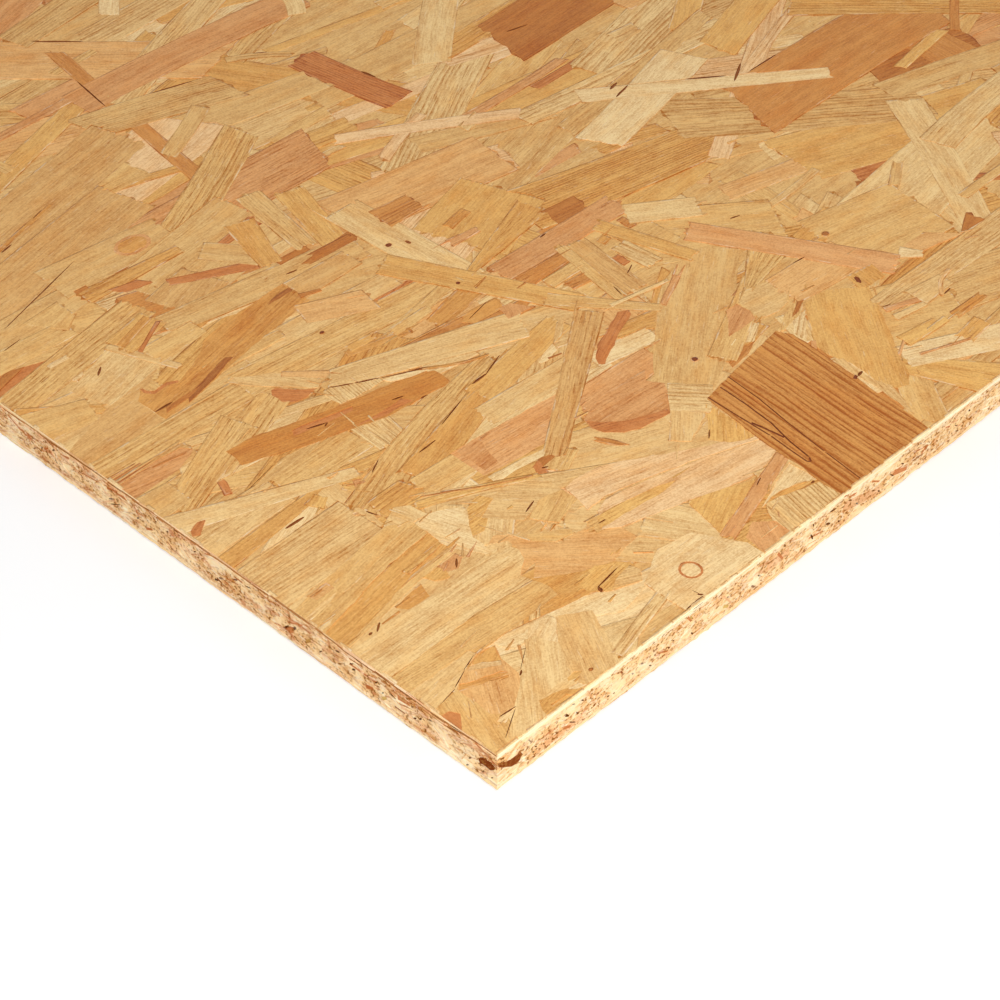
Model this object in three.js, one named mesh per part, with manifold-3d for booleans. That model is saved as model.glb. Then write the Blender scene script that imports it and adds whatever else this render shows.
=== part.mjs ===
// One panel of oriented strand board (OSB), lying flat with its rougher face up.
// Millimetres. +X runs along the panel, +Y across it, +Z is up. The origin is the centre of
// the underside. The board is one pressed solid: its sawn edges show the gaps between strand
// ends, a split runs under the top strands of one short edge, and both faces have cracks
// where two strands meet.

import * as THREE from 'three';
import { mergeVertices } from 'three/addons/utils/BufferGeometryUtils.js';
import Module from 'manifold-3d';

const wasm = await Module();
wasm.setup();

// The board.
const LENGTH = 1220;
const WIDTH = 610;
const THICKNESS = 18;
const ARRIS = 0.35; // width of the worn chamfer along every sawn arris

// The outer layers of lengthwise strands; the core between them holds most of the gaps.
const FACE_LAYER = 4;

// Gaps between strand ends, open at the sawn edges.
const GAP_DEPTH = 3.5;
const GAP_PITCH = 34; // mean distance from one gap to the next, past the hand-placed ones
const GAP_LENGTH = 4.2;
const GAP_HEIGHT = 1.1;
const GAP_SMALLEST = 0.6; // the least gap's share of that length and height
const GAP_SPREAD = 0.8; // how much larger than the least, as a share, the greatest is
const GAP_TILT = 14; // degrees that a gap may lean off the faces
const GAP_SEED = 41;

// The split under the top strands of the near short edge.
const SPLIT_HEIGHT = 0.7;
const SPLIT_DEPTH = 2.2;
const SPLIT_STEPS = 60;
const SPLIT_SWELL = 0.4; // how much the split widens and narrows, as a share of its height
const SPLIT_SWELL_TURNS = 37; // how far the swelling's sine runs from end to end, in radians

// Cracks beside the surface strands.
const CRACK_DEPTH = 0.9;
const CRACK_PITCH = 122;
const CRACK_LENGTH = 34;
const CRACK_WIDTH = 1.3;
const CRACK_DRIFT = 0.3; // how far a crack may lie from its place in the row, as a share of the pitch
const CRACK_TURN = 35; // degrees that a crack may turn from the long edges
const CRACK_SEED = 7;

const SEED_STEP = 1000; // between the streams of random numbers of two faces or edges
const WELD = 1e-4; // corners closer than this are one
const OVERSHOOT = 1; // how far a cutter stands out of the face that it opens
const CURVE_STEPS = 3; // straight pieces on each side of a gap's outline

// Hand-placed gaps: distance from the near corner, height above the underside, length,
// height of the opening, and lean in degrees.
const LONG_EDGE_GAPS = [
  [16.0, 11.6, 2.6, 0.6, -50],
  [23.2, 5.4, 2.0, 0.9, 60],
  [29.4, 5.8, 1.8, 1.1, -30],
  [34.4, 10.6, 2.6, 1.0, 4],
  [37.0, 5.4, 4.2, 0.7, 24],
  [95.8, 14.4, 3.0, 0.6, 3],
  [117.6, 5.0, 2.6, 1.0, 35],
  [118.4, 9.4, 3.4, 1.0, 10],
  [131.4, 5.0, 5.2, 1.0, 24],
  [165.8, 7.5, 2.6, 1.3, 0],
  [167.4, 12.4, 3.0, 1.1, -20],
  [174.5, 7.3, 2.4, 1.0, 12],
  [176.8, 13.6, 3.6, 1.0, 6],
  [260.8, 10.8, 4.4, 1.1, 8],
];
const SHORT_EDGE_GAPS = [
  [31.2, 11.0, 3.4, 1.0, 4],
  [36.0, 8.2, 2.2, 1.3, 10],
  [40.0, 6.4, 2.4, 1.2, -20],
  [58.0, 10.4, 2.8, 0.8, 0],
  [69.0, 8.9, 2.2, 0.9, 5],
  [77.2, 12.0, 3.8, 1.9, -14],
  [86.0, 6.3, 2.6, 0.9, 30],
  [123.0, 12.6, 4.0, 0.7, 0],
  [130.2, 11.8, 3.8, 1.2, -8],
  [138.4, 6.9, 3.2, 1.4, -12],
  [141.2, 4.5, 3.0, 1.1, -6],
  [178.0, 6.2, 5.0, 1.3, 4],
  [185.0, 7.6, 3.0, 0.9, -60],
  [198.2, 5.9, 6.6, 0.9, 8],
  [199.4, 8.2, 3.4, 1.1, 12],
  [232.0, 11.1, 2.2, 0.9, 0],
  [241.2, 8.4, 2.2, 1.1, 0],
];

// The split's line: distance from the near corner, and depth below the top face.
const SPLIT_LINE = [
  [2, 1.7],
  [17, 2.6],
  [31, 2.8],
  [57, 2.4],
  [76, 2.2],
  [96, 1.7],
  [118, 2.3],
  [149, 2.5],
  [172, 2.9],
  [191, 2.5],
  [217, 2.7],
  [236, 2.7],
  [250, 1.3],
];

// Hand-placed cracks on the top face: distances from the near corner along the long and the
// short edge, length, and turn from the long edge in degrees.
const TOP_CRACKS = [
  [35, 62, 26, 22],
  [88, 131, 30, 38],
  [118, 98, 34, -12],
];

// A closed geometry as a manifold-3d solid.
function solid(geometry) {
  const bare = geometry.index ? geometry.toNonIndexed() : geometry.clone();
  bare.deleteAttribute('normal');
  bare.deleteAttribute('uv');
  const merged = mergeVertices(bare, WELD);
  return new wasm.Manifold(new wasm.Mesh({
    numProp: 3,
    vertProperties: merged.attributes.position.array,
    triVerts: new Uint32Array(merged.index.array),
  }));
}

// A manifold-3d solid as a three.js geometry with flat faces.
function geometryOf(body) {
  const mesh = body.getMesh();
  const indexed = new THREE.BufferGeometry();
  indexed.setAttribute('position', new THREE.BufferAttribute(mesh.vertProperties, 3));
  indexed.setIndex(new THREE.BufferAttribute(mesh.triVerts, 1));
  const flat = indexed.toNonIndexed();
  flat.computeVertexNormals();
  return flat;
}

// The sawn blank, with a small chamfer along all twelve arrises.
function blank() {
  const outline = new THREE.Shape();
  outline.moveTo(-LENGTH / 2 + ARRIS, -WIDTH / 2);
  outline.lineTo(LENGTH / 2 - ARRIS, -WIDTH / 2);
  outline.lineTo(LENGTH / 2, -WIDTH / 2 + ARRIS);
  outline.lineTo(LENGTH / 2, WIDTH / 2 - ARRIS);
  outline.lineTo(LENGTH / 2 - ARRIS, WIDTH / 2);
  outline.lineTo(-LENGTH / 2 + ARRIS, WIDTH / 2);
  outline.lineTo(-LENGTH / 2, WIDTH / 2 - ARRIS);
  outline.lineTo(-LENGTH / 2, -WIDTH / 2 + ARRIS);
  outline.closePath();
  const board = new THREE.ExtrudeGeometry(outline, {
    depth: THICKNESS - 2 * ARRIS,
    bevelEnabled: true,
    bevelThickness: ARRIS,
    bevelSize: ARRIS,
    bevelOffset: -ARRIS,
    bevelSegments: 1,
  });
  board.translate(0, 0, ARRIS);
  return board;
}

// A lens between two strands: pointed at both ends, widest in the middle.
function lens(length, opening) {
  const outline = new THREE.Shape();
  outline.moveTo(-length / 2, 0);
  outline.quadraticCurveTo(0, -opening, length / 2, 0);
  outline.quadraticCurveTo(0, opening, -length / 2, 0);
  return outline;
}

// Cuts an outline into a face. The frame's +Z points out of the face.
function pocket(outline, depth, frame, along, up, turn) {
  const cutter = new THREE.ExtrudeGeometry(outline, {
    depth: depth + OVERSHOOT,
    bevelEnabled: false,
    curveSegments: CURVE_STEPS,
  });
  cutter.translate(0, 0, -depth);
  cutter.rotateZ(THREE.MathUtils.degToRad(turn));
  cutter.translate(along, up, 0);
  cutter.applyMatrix4(frame);
  return solid(cutter);
}

// The frame of a sawn edge: X along the edge, Y up from the underside, Z out of the board.
function edgeFrame(outward, reach) {
  const out = new THREE.Vector3(Math.cos(outward), Math.sin(outward), 0);
  const up = new THREE.Vector3(0, 0, 1);
  const along = new THREE.Vector3().crossVectors(up, out);
  return new THREE.Matrix4().makeBasis(along, up, out).setPosition(out.clone().multiplyScalar(reach));
}

const FRONT = edgeFrame(-Math.PI / 2, WIDTH / 2);
const RIGHT = edgeFrame(0, LENGTH / 2);
const BACK = edgeFrame(Math.PI / 2, WIDTH / 2);
const LEFT = edgeFrame(Math.PI, LENGTH / 2);
const TOP = new THREE.Matrix4().makeTranslation(0, 0, THICKNESS);
const UNDERSIDE = new THREE.Matrix4().makeRotationX(Math.PI);

// A repeatable stream of numbers from 0 to 1.
function numbers(seed) {
  let next = seed;
  return () => THREE.MathUtils.seededRandom(next++);
}

// Gaps scattered along one edge between two distances from its middle.
function scatteredGaps(frame, from, to, seed) {
  const random = numbers(seed);
  const cuts = [];
  const core = THICKNESS - 2 * FACE_LAYER;
  for (let at = from; at < to; at += GAP_PITCH * (0.5 + random())) {
    const size = GAP_SMALLEST + GAP_SPREAD * random();
    const height = FACE_LAYER + core * random();
    const lean = GAP_TILT * (2 * random() - 1);
    cuts.push(pocket(lens(GAP_LENGTH * size, 2 * GAP_HEIGHT * size), GAP_DEPTH, frame, at, height, lean));
  }
  return cuts;
}

// The hand-placed gaps of one edge. The corner is where distances start, and the sign says
// which way along the edge they run.
function placedGaps(gaps, frame, corner, sign) {
  return gaps.map(([along, height, length, opening, lean]) =>
    pocket(lens(length, 2 * opening), GAP_DEPTH, frame, corner + sign * along, height, sign * lean));
}

// The split: a thin slot that follows a wavering line and closes at both ends.
function split() {
  const line = new THREE.SplineCurve(SPLIT_LINE.map(([along, below]) =>
    new THREE.Vector2(WIDTH / 2 - along, THICKNESS - below)));
  const upper = [];
  const lower = [];
  for (let i = 0; i <= SPLIT_STEPS; i++) {
    const share = i / SPLIT_STEPS;
    const point = line.getPoint(share);
    const swell = 1 + SPLIT_SWELL * Math.sin(SPLIT_SWELL_TURNS * share);
    const half = (SPLIT_HEIGHT / 2) * Math.sqrt(Math.sin(Math.PI * share)) * swell;
    upper.push(new THREE.Vector2(point.x, point.y + half));
    lower.unshift(new THREE.Vector2(point.x, point.y - half));
  }
  return pocket(new THREE.Shape([...upper, ...lower.slice(1, -1)]), SPLIT_DEPTH, LEFT, 0, 0, 0);
}

// Cracks scattered over one face in rows, none of them near an edge.
function scatteredCracks(frame, seed, isFree) {
  const random = numbers(seed);
  const cuts = [];
  for (let x = -LENGTH / 2 + CRACK_PITCH / 2; x < LENGTH / 2 - CRACK_LENGTH; x += CRACK_PITCH) {
    for (let y = -WIDTH / 2 + CRACK_PITCH / 2; y < WIDTH / 2 - CRACK_LENGTH; y += CRACK_PITCH) {
      const alongX = x + CRACK_DRIFT * CRACK_PITCH * (2 * random() - 1);
      const alongY = y + CRACK_DRIFT * CRACK_PITCH * (2 * random() - 1);
      const turn = CRACK_TURN * (2 * random() - 1);
      const length = CRACK_LENGTH * (0.5 + random());
      if (isFree(alongX, alongY)) {
        cuts.push(pocket(lens(length, 2 * CRACK_WIDTH), CRACK_DEPTH, frame, alongX, alongY, turn));
      }
    }
  }
  return cuts;
}

function panel() {
  const longRun = Math.max(...LONG_EDGE_GAPS.map(([along]) => along)) + GAP_PITCH;
  const shortRun = Math.max(...SHORT_EDGE_GAPS.map(([along]) => along)) + GAP_PITCH;
  const margin = GAP_PITCH / 2;
  const cuts = [
    ...placedGaps(LONG_EDGE_GAPS, FRONT, -LENGTH / 2, 1),
    ...placedGaps(SHORT_EDGE_GAPS, LEFT, WIDTH / 2, -1),
    ...scatteredGaps(FRONT, -LENGTH / 2 + longRun, LENGTH / 2 - margin, GAP_SEED),
    ...scatteredGaps(LEFT, -WIDTH / 2 + margin, WIDTH / 2 - shortRun, GAP_SEED + SEED_STEP),
    ...scatteredGaps(RIGHT, -WIDTH / 2 + margin, WIDTH / 2 - margin, GAP_SEED + 2 * SEED_STEP),
    ...scatteredGaps(BACK, -LENGTH / 2 + margin, LENGTH / 2 - margin, GAP_SEED + 3 * SEED_STEP),
    split(),
    ...TOP_CRACKS.map(([alongX, alongY, length, turn]) =>
      pocket(lens(length, 2 * CRACK_WIDTH), CRACK_DEPTH, TOP,
        alongX - LENGTH / 2, alongY - WIDTH / 2, turn)),
    ...scatteredCracks(TOP, CRACK_SEED, (x, y) =>
      x > longRun - LENGTH / 2 || y > longRun - WIDTH / 2),
    ...scatteredCracks(UNDERSIDE, CRACK_SEED + SEED_STEP, () => true),
  ];
  return solid(blank()).subtract(wasm.Manifold.union(cuts));
}

const strandBoard = new THREE.MeshStandardMaterial({
  color: 0xddb075,
  roughness: 0.75,
  metalness: 0,
});

const board = new THREE.Mesh(geometryOf(panel()), strandBoard);
board.name = 'osb_panel';

const part = new THREE.Group();
part.add(board);

export default part;
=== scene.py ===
import math
import random

import bmesh
import bpy
import numpy as np
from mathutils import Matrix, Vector
from mathutils.geometry import delaunay_2d_cdt


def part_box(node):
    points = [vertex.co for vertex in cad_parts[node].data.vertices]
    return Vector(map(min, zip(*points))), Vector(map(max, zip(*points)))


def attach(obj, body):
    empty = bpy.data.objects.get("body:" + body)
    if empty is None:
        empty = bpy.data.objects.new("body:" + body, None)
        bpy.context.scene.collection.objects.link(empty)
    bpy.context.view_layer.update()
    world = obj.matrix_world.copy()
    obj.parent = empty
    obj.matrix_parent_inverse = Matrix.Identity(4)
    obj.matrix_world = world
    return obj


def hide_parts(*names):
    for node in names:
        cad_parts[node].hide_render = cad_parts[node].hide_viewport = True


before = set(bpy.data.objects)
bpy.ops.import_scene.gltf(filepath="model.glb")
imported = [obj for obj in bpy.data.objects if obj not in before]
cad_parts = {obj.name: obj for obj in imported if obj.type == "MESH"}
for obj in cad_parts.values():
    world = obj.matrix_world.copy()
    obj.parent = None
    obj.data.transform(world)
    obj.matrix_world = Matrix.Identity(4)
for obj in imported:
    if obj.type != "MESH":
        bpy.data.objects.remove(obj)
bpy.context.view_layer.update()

# ---------------------------------------------------------------------------
# The studio. A camera close above the near left corner, a pale floor that
# the panel lies on, one wide soft lamp over the near side and a weaker one
# behind, and a white room that fills the shadows.

WHITE = (1, 1, 1, 1)
FLOOR_PAINT = (0.82, 0.82, 0.82, 1)
FLOOR_GLOW = 0.24  # lifts the floor towards white, for the camera alone
ROOM_FILL = 0.37   # how brightly the room lights the shadows

bpy.ops.object.select_all(action="DESELECT")
bpy.ops.object.camera_add(
    location=(-1.0420, -0.7255, 0.6575),
    rotation=(math.radians(48.775), 0, math.radians(-45.864)),
)
camera = bpy.context.object
camera.data.lens = 95.58
camera.data.sensor_width = 36
camera.data.clip_start = 0.02
bpy.context.scene.camera = camera

bpy.ops.mesh.primitive_plane_add(size=40, location=(0, 0, -0.0002))
floor = bpy.context.object
floor.name = "studio_floor"
floor_paint = bpy.data.materials.new("floor_paint")
floor_paint.use_nodes = True
nodes, links = floor_paint.node_tree.nodes, floor_paint.node_tree.links
paint = nodes["Principled BSDF"].inputs
paint["Base Color"].default_value = FLOOR_PAINT
paint["Roughness"].default_value = 0.9
paint["Emission Color"].default_value = WHITE
path = nodes.new("ShaderNodeLightPath")
glow = nodes.new("ShaderNodeMath")
glow.operation = "MULTIPLY"
glow.inputs[1].default_value = FLOOR_GLOW
links.new(path.outputs["Is Camera Ray"], glow.inputs[0])
links.new(glow.outputs[0], paint["Emission Strength"])
floor.data.materials.append(floor_paint)


def soft_lamp(name, place, aim, size, power):
    bpy.ops.object.light_add(type="AREA", location=place)
    lamp = bpy.context.object
    lamp.name = name
    lamp.data.shape = "SQUARE"
    lamp.data.size = size
    lamp.data.energy = power
    lamp.rotation_euler = (Vector(aim) - Vector(place)).to_track_quat("-Z", "Y").to_euler()


soft_lamp("near_softbox", (-1.22, -1.30, 1.08), (-0.55, -0.24, 0), size=1.0, power=25)
soft_lamp("far_softbox", (1.6, 2.2, 2.4), (0, 0, 0), size=2.2, power=10)

room = bpy.data.worlds.new("white_room")
bpy.context.scene.world = room
room.use_nodes = True
nodes, links = room.node_tree.nodes, room.node_tree.links
nodes.clear()
path = nodes.new("ShaderNodeLightPath")
seen = nodes.new("ShaderNodeMath")
seen.operation = "MAXIMUM"
links.new(path.outputs["Is Camera Ray"], seen.inputs[0])
links.new(path.outputs["Is Glossy Ray"], seen.inputs[1])
mix = nodes.new("ShaderNodeMixShader")
links.new(seen.outputs[0], mix.inputs[0])
for slot, strength in ((1, ROOM_FILL), (2, 1.0)):
    wall = nodes.new("ShaderNodeBackground")
    wall.inputs["Color"].default_value = WHITE
    wall.inputs["Strength"].default_value = strength
    links.new(wall.outputs[0], mix.inputs[slot])
sky = nodes.new("ShaderNodeOutputWorld")
links.new(mix.outputs[0], sky.inputs["Surface"])
bpy.context.scene.view_settings.view_transform = "Standard"

# ---------------------------------------------------------------------------
# The top face. Long thin strands of softwood, sliced along the grain, waxed,
# glued and hot-pressed flat. Most lie along the panel. Each keeps its own
# colour, grain and torn ends, and sits a few tenths of a millimetre higher or
# lower than its neighbours. All lengths in this script are millimetres until
# a mesh is written.

MM = 0.001
low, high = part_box("osb_panel")
LENGTH = (high[0] - low[0]) / MM
WIDTH = (high[1] - low[1]) / MM
THICKNESS = (high[2] - low[2]) / MM

SKIN = 0.8          # depth of the pressed skins that carry the strand relief
FACE_RELIEF = 0.45  # height between the lowest and the highest strand
CRACK_DEPTH = 0.45
LEVEL = 0.06        # strands differ in height by whole steps of this
ARRIS_STEP = 2.6    # spacing of the chips along the arrises
ARRIS_CHIPS = 0.35  # how far the saw tore the arrises back

# Colours of the strands, as red, green and blue out of 255.
TONES = {
    "white": (246, 214, 162),
    "cream": (242, 208, 156),
    "pale": (237, 199, 142),
    "straw": (232, 190, 131),
    "tan": (226, 181, 120),
    "olive": (230, 184, 120),
    "gold": (233, 182, 110),
    "honey": (228, 176, 106),
    "biscuit": (222, 173, 112),
    "amber": (224, 168, 98),
    "peach": (231, 178, 117),
    "rose": (241, 198, 148),
    "salmon": (228, 169, 113),
    "rosewood": (221, 161, 106),
    "caramel": (218, 157, 88),
    "copper": (211, 145, 81),
    "rust": (205, 132, 78),
    "brown": (193, 124, 65),
    "bark": (128, 66, 34),
    # in the gaps between strands this dark brown is partly painted shade, for the shadow inside them
    "crack": (150, 88, 42),
    "russet": (212, 148, 82),
    "umber": (178, 112, 60),
    "saddle": (208, 141, 73),
}

# Strands of the near left corner, from the lowest to the uppermost: tone, the
# two ends of the middle line as distances from that corner, the width at each
# end, the sideways bow, how marked the growth grooves are, and how far each
# end is cut askew. A torn piece has the angle of its grain and its outline in
# place of the ends, the widths and the bow.
CORNER_STRANDS = [
    # ground layer
    ("cream", 30, 30, 105, 14, 22, 20),
    ("straw", -6, 98, 60, 99, 10, 10),
    ("olive", 60, 104, 74, 62, 20, 16),
    ("straw", 96, 60, 130, 22, 30, 34),
    ("straw", 120, 82, 190, 56, 40, 34),
    ("white", 84, 128, 84, 96, 22, 18),
    ("pale", 76, 112, 160, 124, 22, 14),
    ("straw", -8, 236, 40, 232, 36, 30),
    ("tan", 110, 244, 172, 226, 34, 40),
    ("straw", 168, 78, 206, 84, 34, 30),
    ("straw", 150, 158, 200, 138, 28, 26),
    ("tan", 236, 96, 300, 92, 34, 32),
    ("olive", 270, 58, 306, 40, 40, 40),
    ("olive", 300, 100, 350, 92, 44, 40),
    ("honey", 196, 212, 236, 226, 44, 40),
    ("tan", 90, 176, 128, 168, 20, 18),
    ("tan", 86, 268, 150, 288, 30, 44),
    ("olive", 250, 160, 300, 128, 40, 30),
    ("olive", 40, 262, 60, 240, 40, 30),
    ("olive", 205, 165, 262, 165, 40, 34),
    # the two long tan strands of the far left
    ("biscuit", 50, 348, 150, 374, 30, 30, 0, 0.35),
    ("biscuit", 14, 311, 122, 336, 30, 30, 0, 0.3),
    ("caramel", 52, 341, 96, 354, 3, 2),
    ("tan", 14, 296, 66, 297, 20, 16),
    ("tan", 60, 309, 118, 306, 24, 20, 0, 0.2),
    ("olive", 2, 284, 48, 282, 14, 12),
    ("olive", 41, 289, 55, 293, 19, 12, 0, 0.2, -6, 4),
    ("tan", 88, 284, 150, 296, 24, 26),
    ("amber", 64, 293, 113, 291, 10, 6, 0, 0.9),
    ("brown", 64, 298, 70, 298, 3, 2),
    ("rust", 76, 287, 89, 284, 6, 5, 0, 0, -6, -6),
    ("rust", 116, 280, 148, 284, 2, 8, 0, 0.8),
    ("olive", 0, 258, 76, 273, 16, 17, 0, 0.9),
    ("cream", 26, 268, 36, 268, 3, 3),
    ("amber", 0, 255, 26, 232, 5, 6),
    ("olive", -4, 243, 22, 236, 22, 14),
    ("biscuit", 84, 262, 108, 270, 26, 22),
    ("tan", 74, 256, 166, 240, 14, 18, 0, 0.3),
    ("pale", 15, [(22, 250), (28, 232), (60, 238), (52, 262)], 0.25),
    ("straw", 50, 262, 62, 232, 4, 4),
    ("olive", 58, 245, 84, 246, 14, 10),
    ("honey", 53, 258, 75, 263, 14, 13, 0, 0.2),
    ("caramel", 54, 258, 74, 265, 4, 4),
    ("rust", 57, 250, 75, 260, 2, 2),
    ("rust", 94, 277, 128, 260, 5, 6),
    ("straw", 130, 262, 152, 262, 8, 6),
    ("brown", 134, 255, 150, 254, 4, 4),
    ("tan", 118, 284, 134, 262, 12, 14),
    ("amber", 142, 288, 132, 256, 14, 10),
    ("tan", 158, 300, 150, 254, 12, 10, 0, 0.8),
    ("honey", 172, 290, 160, 248, 14, 12, 0, 0.4),
    ("brown", 142, 246, 169, 247, 3, 7),
    ("brown", 146, 248, 168, 248, 5, 2),
    # olive, straw and the curled copper strand over them
    ("biscuit", 6, [(-2, 208), (36, 210), (37, 226), (55, 237), (25, 232), (-2, 222)], 0.2),
    ("olive", -8, 204, 71, 203, 15, 15, 0, 0.8),
    ("biscuit", -4, 191, 33, 192, 12, 12, 0, 0.5),
    ("rust", -4, 198, 14, 198.4, 1.1, 0.7),
    ("rust", -4, 195.2, 17, 196, 1.3, 0.5),
    ("copper", -4, 200, 13, 199.6, 1.5, 0.5),
    ("rosewood", -8, [(-3, 184), (10, 184.6), (22, 185), (33, 190), (30, 194), (22, 195.4), (10, 194.6),
     (-3, 194)], 0.8),
    ("brown", 15, 193.4, 30, 190.6, 0.6, 0.4),
    ("olive", 30, 176, 76, 192, 16, 14, 0, 0.8),
    ("straw", 82, 218, 160, 214, 14, 12),
    ("olive", 66, 222, 104, 219, 8, 6),
    ("olive", 70, 206, 180, 197, 18, 15, 0, 0.6),
    ("olive", 140, 188, 176, 196, 8, 5),
    ("caramel", 112, 191, 140, 184, 4, 4),
    ("amber", 115, 193, 128, 192, 5, 4),
    ("olive", 134, 188, 156, 189, 6, 5),
    ("caramel", 150, 180, 178, 186, 9, 11, 0, 0.5),
    ("caramel", 130, 178, 178, 170, 4, 10),
    ("copper", 130, 177, 160, 172, 4, 8, 0, 0.7),
    ("copper", 160, 165, 186, 163, 8, 8),
    ("rust", -50, [(75, 193), (76.6, 195.6), (79, 195.2), (83, 190), (89.6, 184), (84, 183), (79, 184),
     (75, 187)], 0.4),
    ("straw", -62, [(70, 213), (78, 206.6), (84, 203.6), (88, 198), (92, 190), (94.6, 186), (90, 183.4),
     (83, 192), (77, 198), (71, 206), (68, 211)], 0.2),
    ("peach", 86, 200, 100, 186, 4, 5),
    ("caramel", 12, [(37, 211), (50, 212), (75, 218), (90, 221), (126, 227), (126, 243), (95, 241),
     (80, 238), (72, 232), (56, 225), (52, 227), (45, 226), (42, 232), (37, 227)], 0.35, "streaked"),
    ("umber", 16, [(50, 212.6), (60, 214.6), (70, 218), (80, 221.4), (78, 223.4), (70, 221.4),
     (62, 218.8), (52, 215.6)], 0.6, "streaked"),
    ("brown", 14, [(40, 214), (52, 214.6), (60, 217), (52, 217), (42, 216.6)], 0.5),
    ("umber", 6, [(112, 236.8), (118, 236.4), (126, 237), (126, 239.4), (116, 238.8)], 0.6),
    ("rust", 60, [(42, 232.4), (41.4, 229), (44, 225.4), (51, 226.4), (55, 224.6), (56, 225.6),
     (51.6, 228), (45.4, 227.2), (43.4, 229.4), (43.4, 232)], 0.2),
    ("peach", 117, 223, 144, 210, 13, 15, 0, 0.1, -2, -4),
    ("biscuit", 126, 236, 158, 236, 14, 12),
    ("brown", 125, 232, 134, 229, 3, 2),
    # straw and copper strands in the middle of the left edge
    ("olive", 6, 168, 56, 190, 13, 17, 0, 0.9, 0, 2),
    ("tan", -6, 176, 14, 176, 18, 14),
    ("straw", -8, 149, 40, 150, 20, 17, 0, 0.4),
    ("olive", 41, 151, 81, 151, 16, 16, 0, 0.4),
    ("tan", 6, [(30, 157), (40, 159.4), (52, 162.8), (62, 162), (71, 160.2), (62, 157.2),
     (40, 156.2)], 0.3),
    ("pale", 90, 158, 88, 139, 17, 14, 0, 0.8),
    ("saddle", -13, [(40.5, 180.6), (53, 179.6), (70, 174.6), (85, 170.4), (110, 165.6), (124, 162),
     (129, 158.6), (128.4, 149.4), (118, 150.4), (108, 151), (96, 151.8), (80, 157), (62, 162),
     (50, 166.6), (39.4, 170.4), (40.4, 175)], 0.3, "streaked"),
    ("rust", -12, [(62, 161), (75, 158.8), (92, 155.8), (108, 155.8), (110, 152), (96, 153),
     (80, 157.6)], 0.5),
    ("rust", -10, [(66, 172), (80, 169), (92, 166), (90, 164), (76, 166), (64, 169)], 0.4),
    ("amber", -6, 134, 58, 140, 9, 5, 0, 0.3, -3, 0),
    ("pale", -4, 164.6, 67, 137, 12, 6, 0, 0.1),
    ("straw", 80, [(51, 139), (57, 137.4), (58, 131), (56, 127), (54.6, 118), (53, 108), (50.6, 109),
     (51, 126), (46, 127.6), (45, 133), (48, 138)], 0.1),
    ("pale", 10, [(52, 108), (60, 110), (67, 107), (66, 101), (58, 99), (51, 103)], 0.1),
    ("gold", 42, 134, 48, 137, 8, 6, 0, 0.6),
    ("honey", 57, 135, 60, 130, 4, 4),
    ("rosewood", 61, 133, 65, 131, 4, 4),
    ("straw", -6, 115, 51, 117, 27, 26, 0, 0.7, 0, 0, "streaked"),
    ("gold", 56, 108, 68, 105, 8, 8),
    ("olive", 54, 118, 150, 149, 20, 9, 3, 0.75, 0, 4),
    ("amber", 57, 116, 76, 117, 12, 12, 0, 0.8, 0, -4),
    ("amber", 80, 119, 156, 142, 16, 11, 0, 0.3, 0, 8),
    ("olive", 76, 114, 104, 112, 12, 14),
    ("honey", 130, 136, 186, 146, 14, 12),
    ("straw", 122, 126, 176, 122, 12, 14),
    ("salmon", -4, [(98, 119.6), (110, 119), (122, 118), (140, 116.4), (156, 114.4), (150, 108),
     (140, 101), (130, 98), (115, 99.4), (98, 101.4)], 0.5),
    ("rosewood", 4, [(100, 103), (100.6, 118.6), (104, 119.4), (112, 117.6), (109, 112), (107, 103)], 0.5),
    ("white", -6, [(98, 100.4), (112, 98.6), (124, 96.4), (131, 93), (124, 93), (112, 95),
     (98, 95.6)], 0.1),
    ("salmon", 152, 104, 196, 104, 16, 14, 0, 0.2),
    ("cream", 176, 119, 206, 114, 10, 10, 0, 0.3),
    ("rosewood", -4, [(147, 97.4), (145.6, 92), (147, 87), (151, 83), (157, 79.6), (165, 78),
     (174, 76.6), (179, 81), (185, 90), (181, 96), (186, 101), (160, 102)], 0.5),
    ("rust", -24, [(145.8, 92), (147, 86.6), (152, 81.6), (158, 78.6), (173, 76.6), (174, 79),
     (166, 81.6), (158, 85), (151, 91), (147.4, 97)], 0.6),
    ("olive", 118, 85, 130, 92, 10, 12, 0, 0.4),
    ("brown", 4, [(112, 88.6), (114, 92), (119, 94), (127, 91), (123, 90), (118, 89.6)], 0.5),
    ("rust", 60, [(111, 85), (112.6, 88), (114, 92.4), (118, 93.4), (116.6, 89), (116, 86)], 0.2),
    ("biscuit", 124, 91, 199, 142, 9, 12, 0, 0.7),
    ("rust", 24, [(176, 116), (178, 119.4), (185, 124.8), (196, 129), (206, 133.4), (210, 131),
     (209, 128.4), (195, 123), (186, 118.6), (178, 114.6)], 0.5),
    ("copper", -66, [(140.6, 86.6), (144.4, 85), (147, 80), (148.6, 75), (144.6, 78), (142.6, 81.6)], 0.4),
    ("straw", 70, 106, 142, 65, 14, 7, 0, 0.4),
    ("gold", 68, 108, 112, 87, 5, 3, 1, 0.6),
    ("copper", 80, 106.4, 110, 89, 0.9, 0.7, -1, 0),
    # the broad straw strand of the left corner, and what lies round its end
    ("pale", 62, 72, 84, 92, 26, 30, 0, 0.1),
    ("gold", 0, [(70, 82), (76, 80), (84, 86), (91, 90), (88, 96), (80, 93)], 0.4),
    ("straw", -50, [(80, 86), (90, 74), (100, 76), (106, 64), (112, 64), (112, 86), (98, 92),
     (90, 90)], 0.2),
    ("olive", 22, [(92, 73), (102, 78), (112, 76), (112, 68), (98, 64)], 0.3),
    ("olive", 9, [(-3, 70), (20, 74.4), (61, 80.6), (61, 108), (20, 101.6), (-3, 97)], 0.3),
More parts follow.
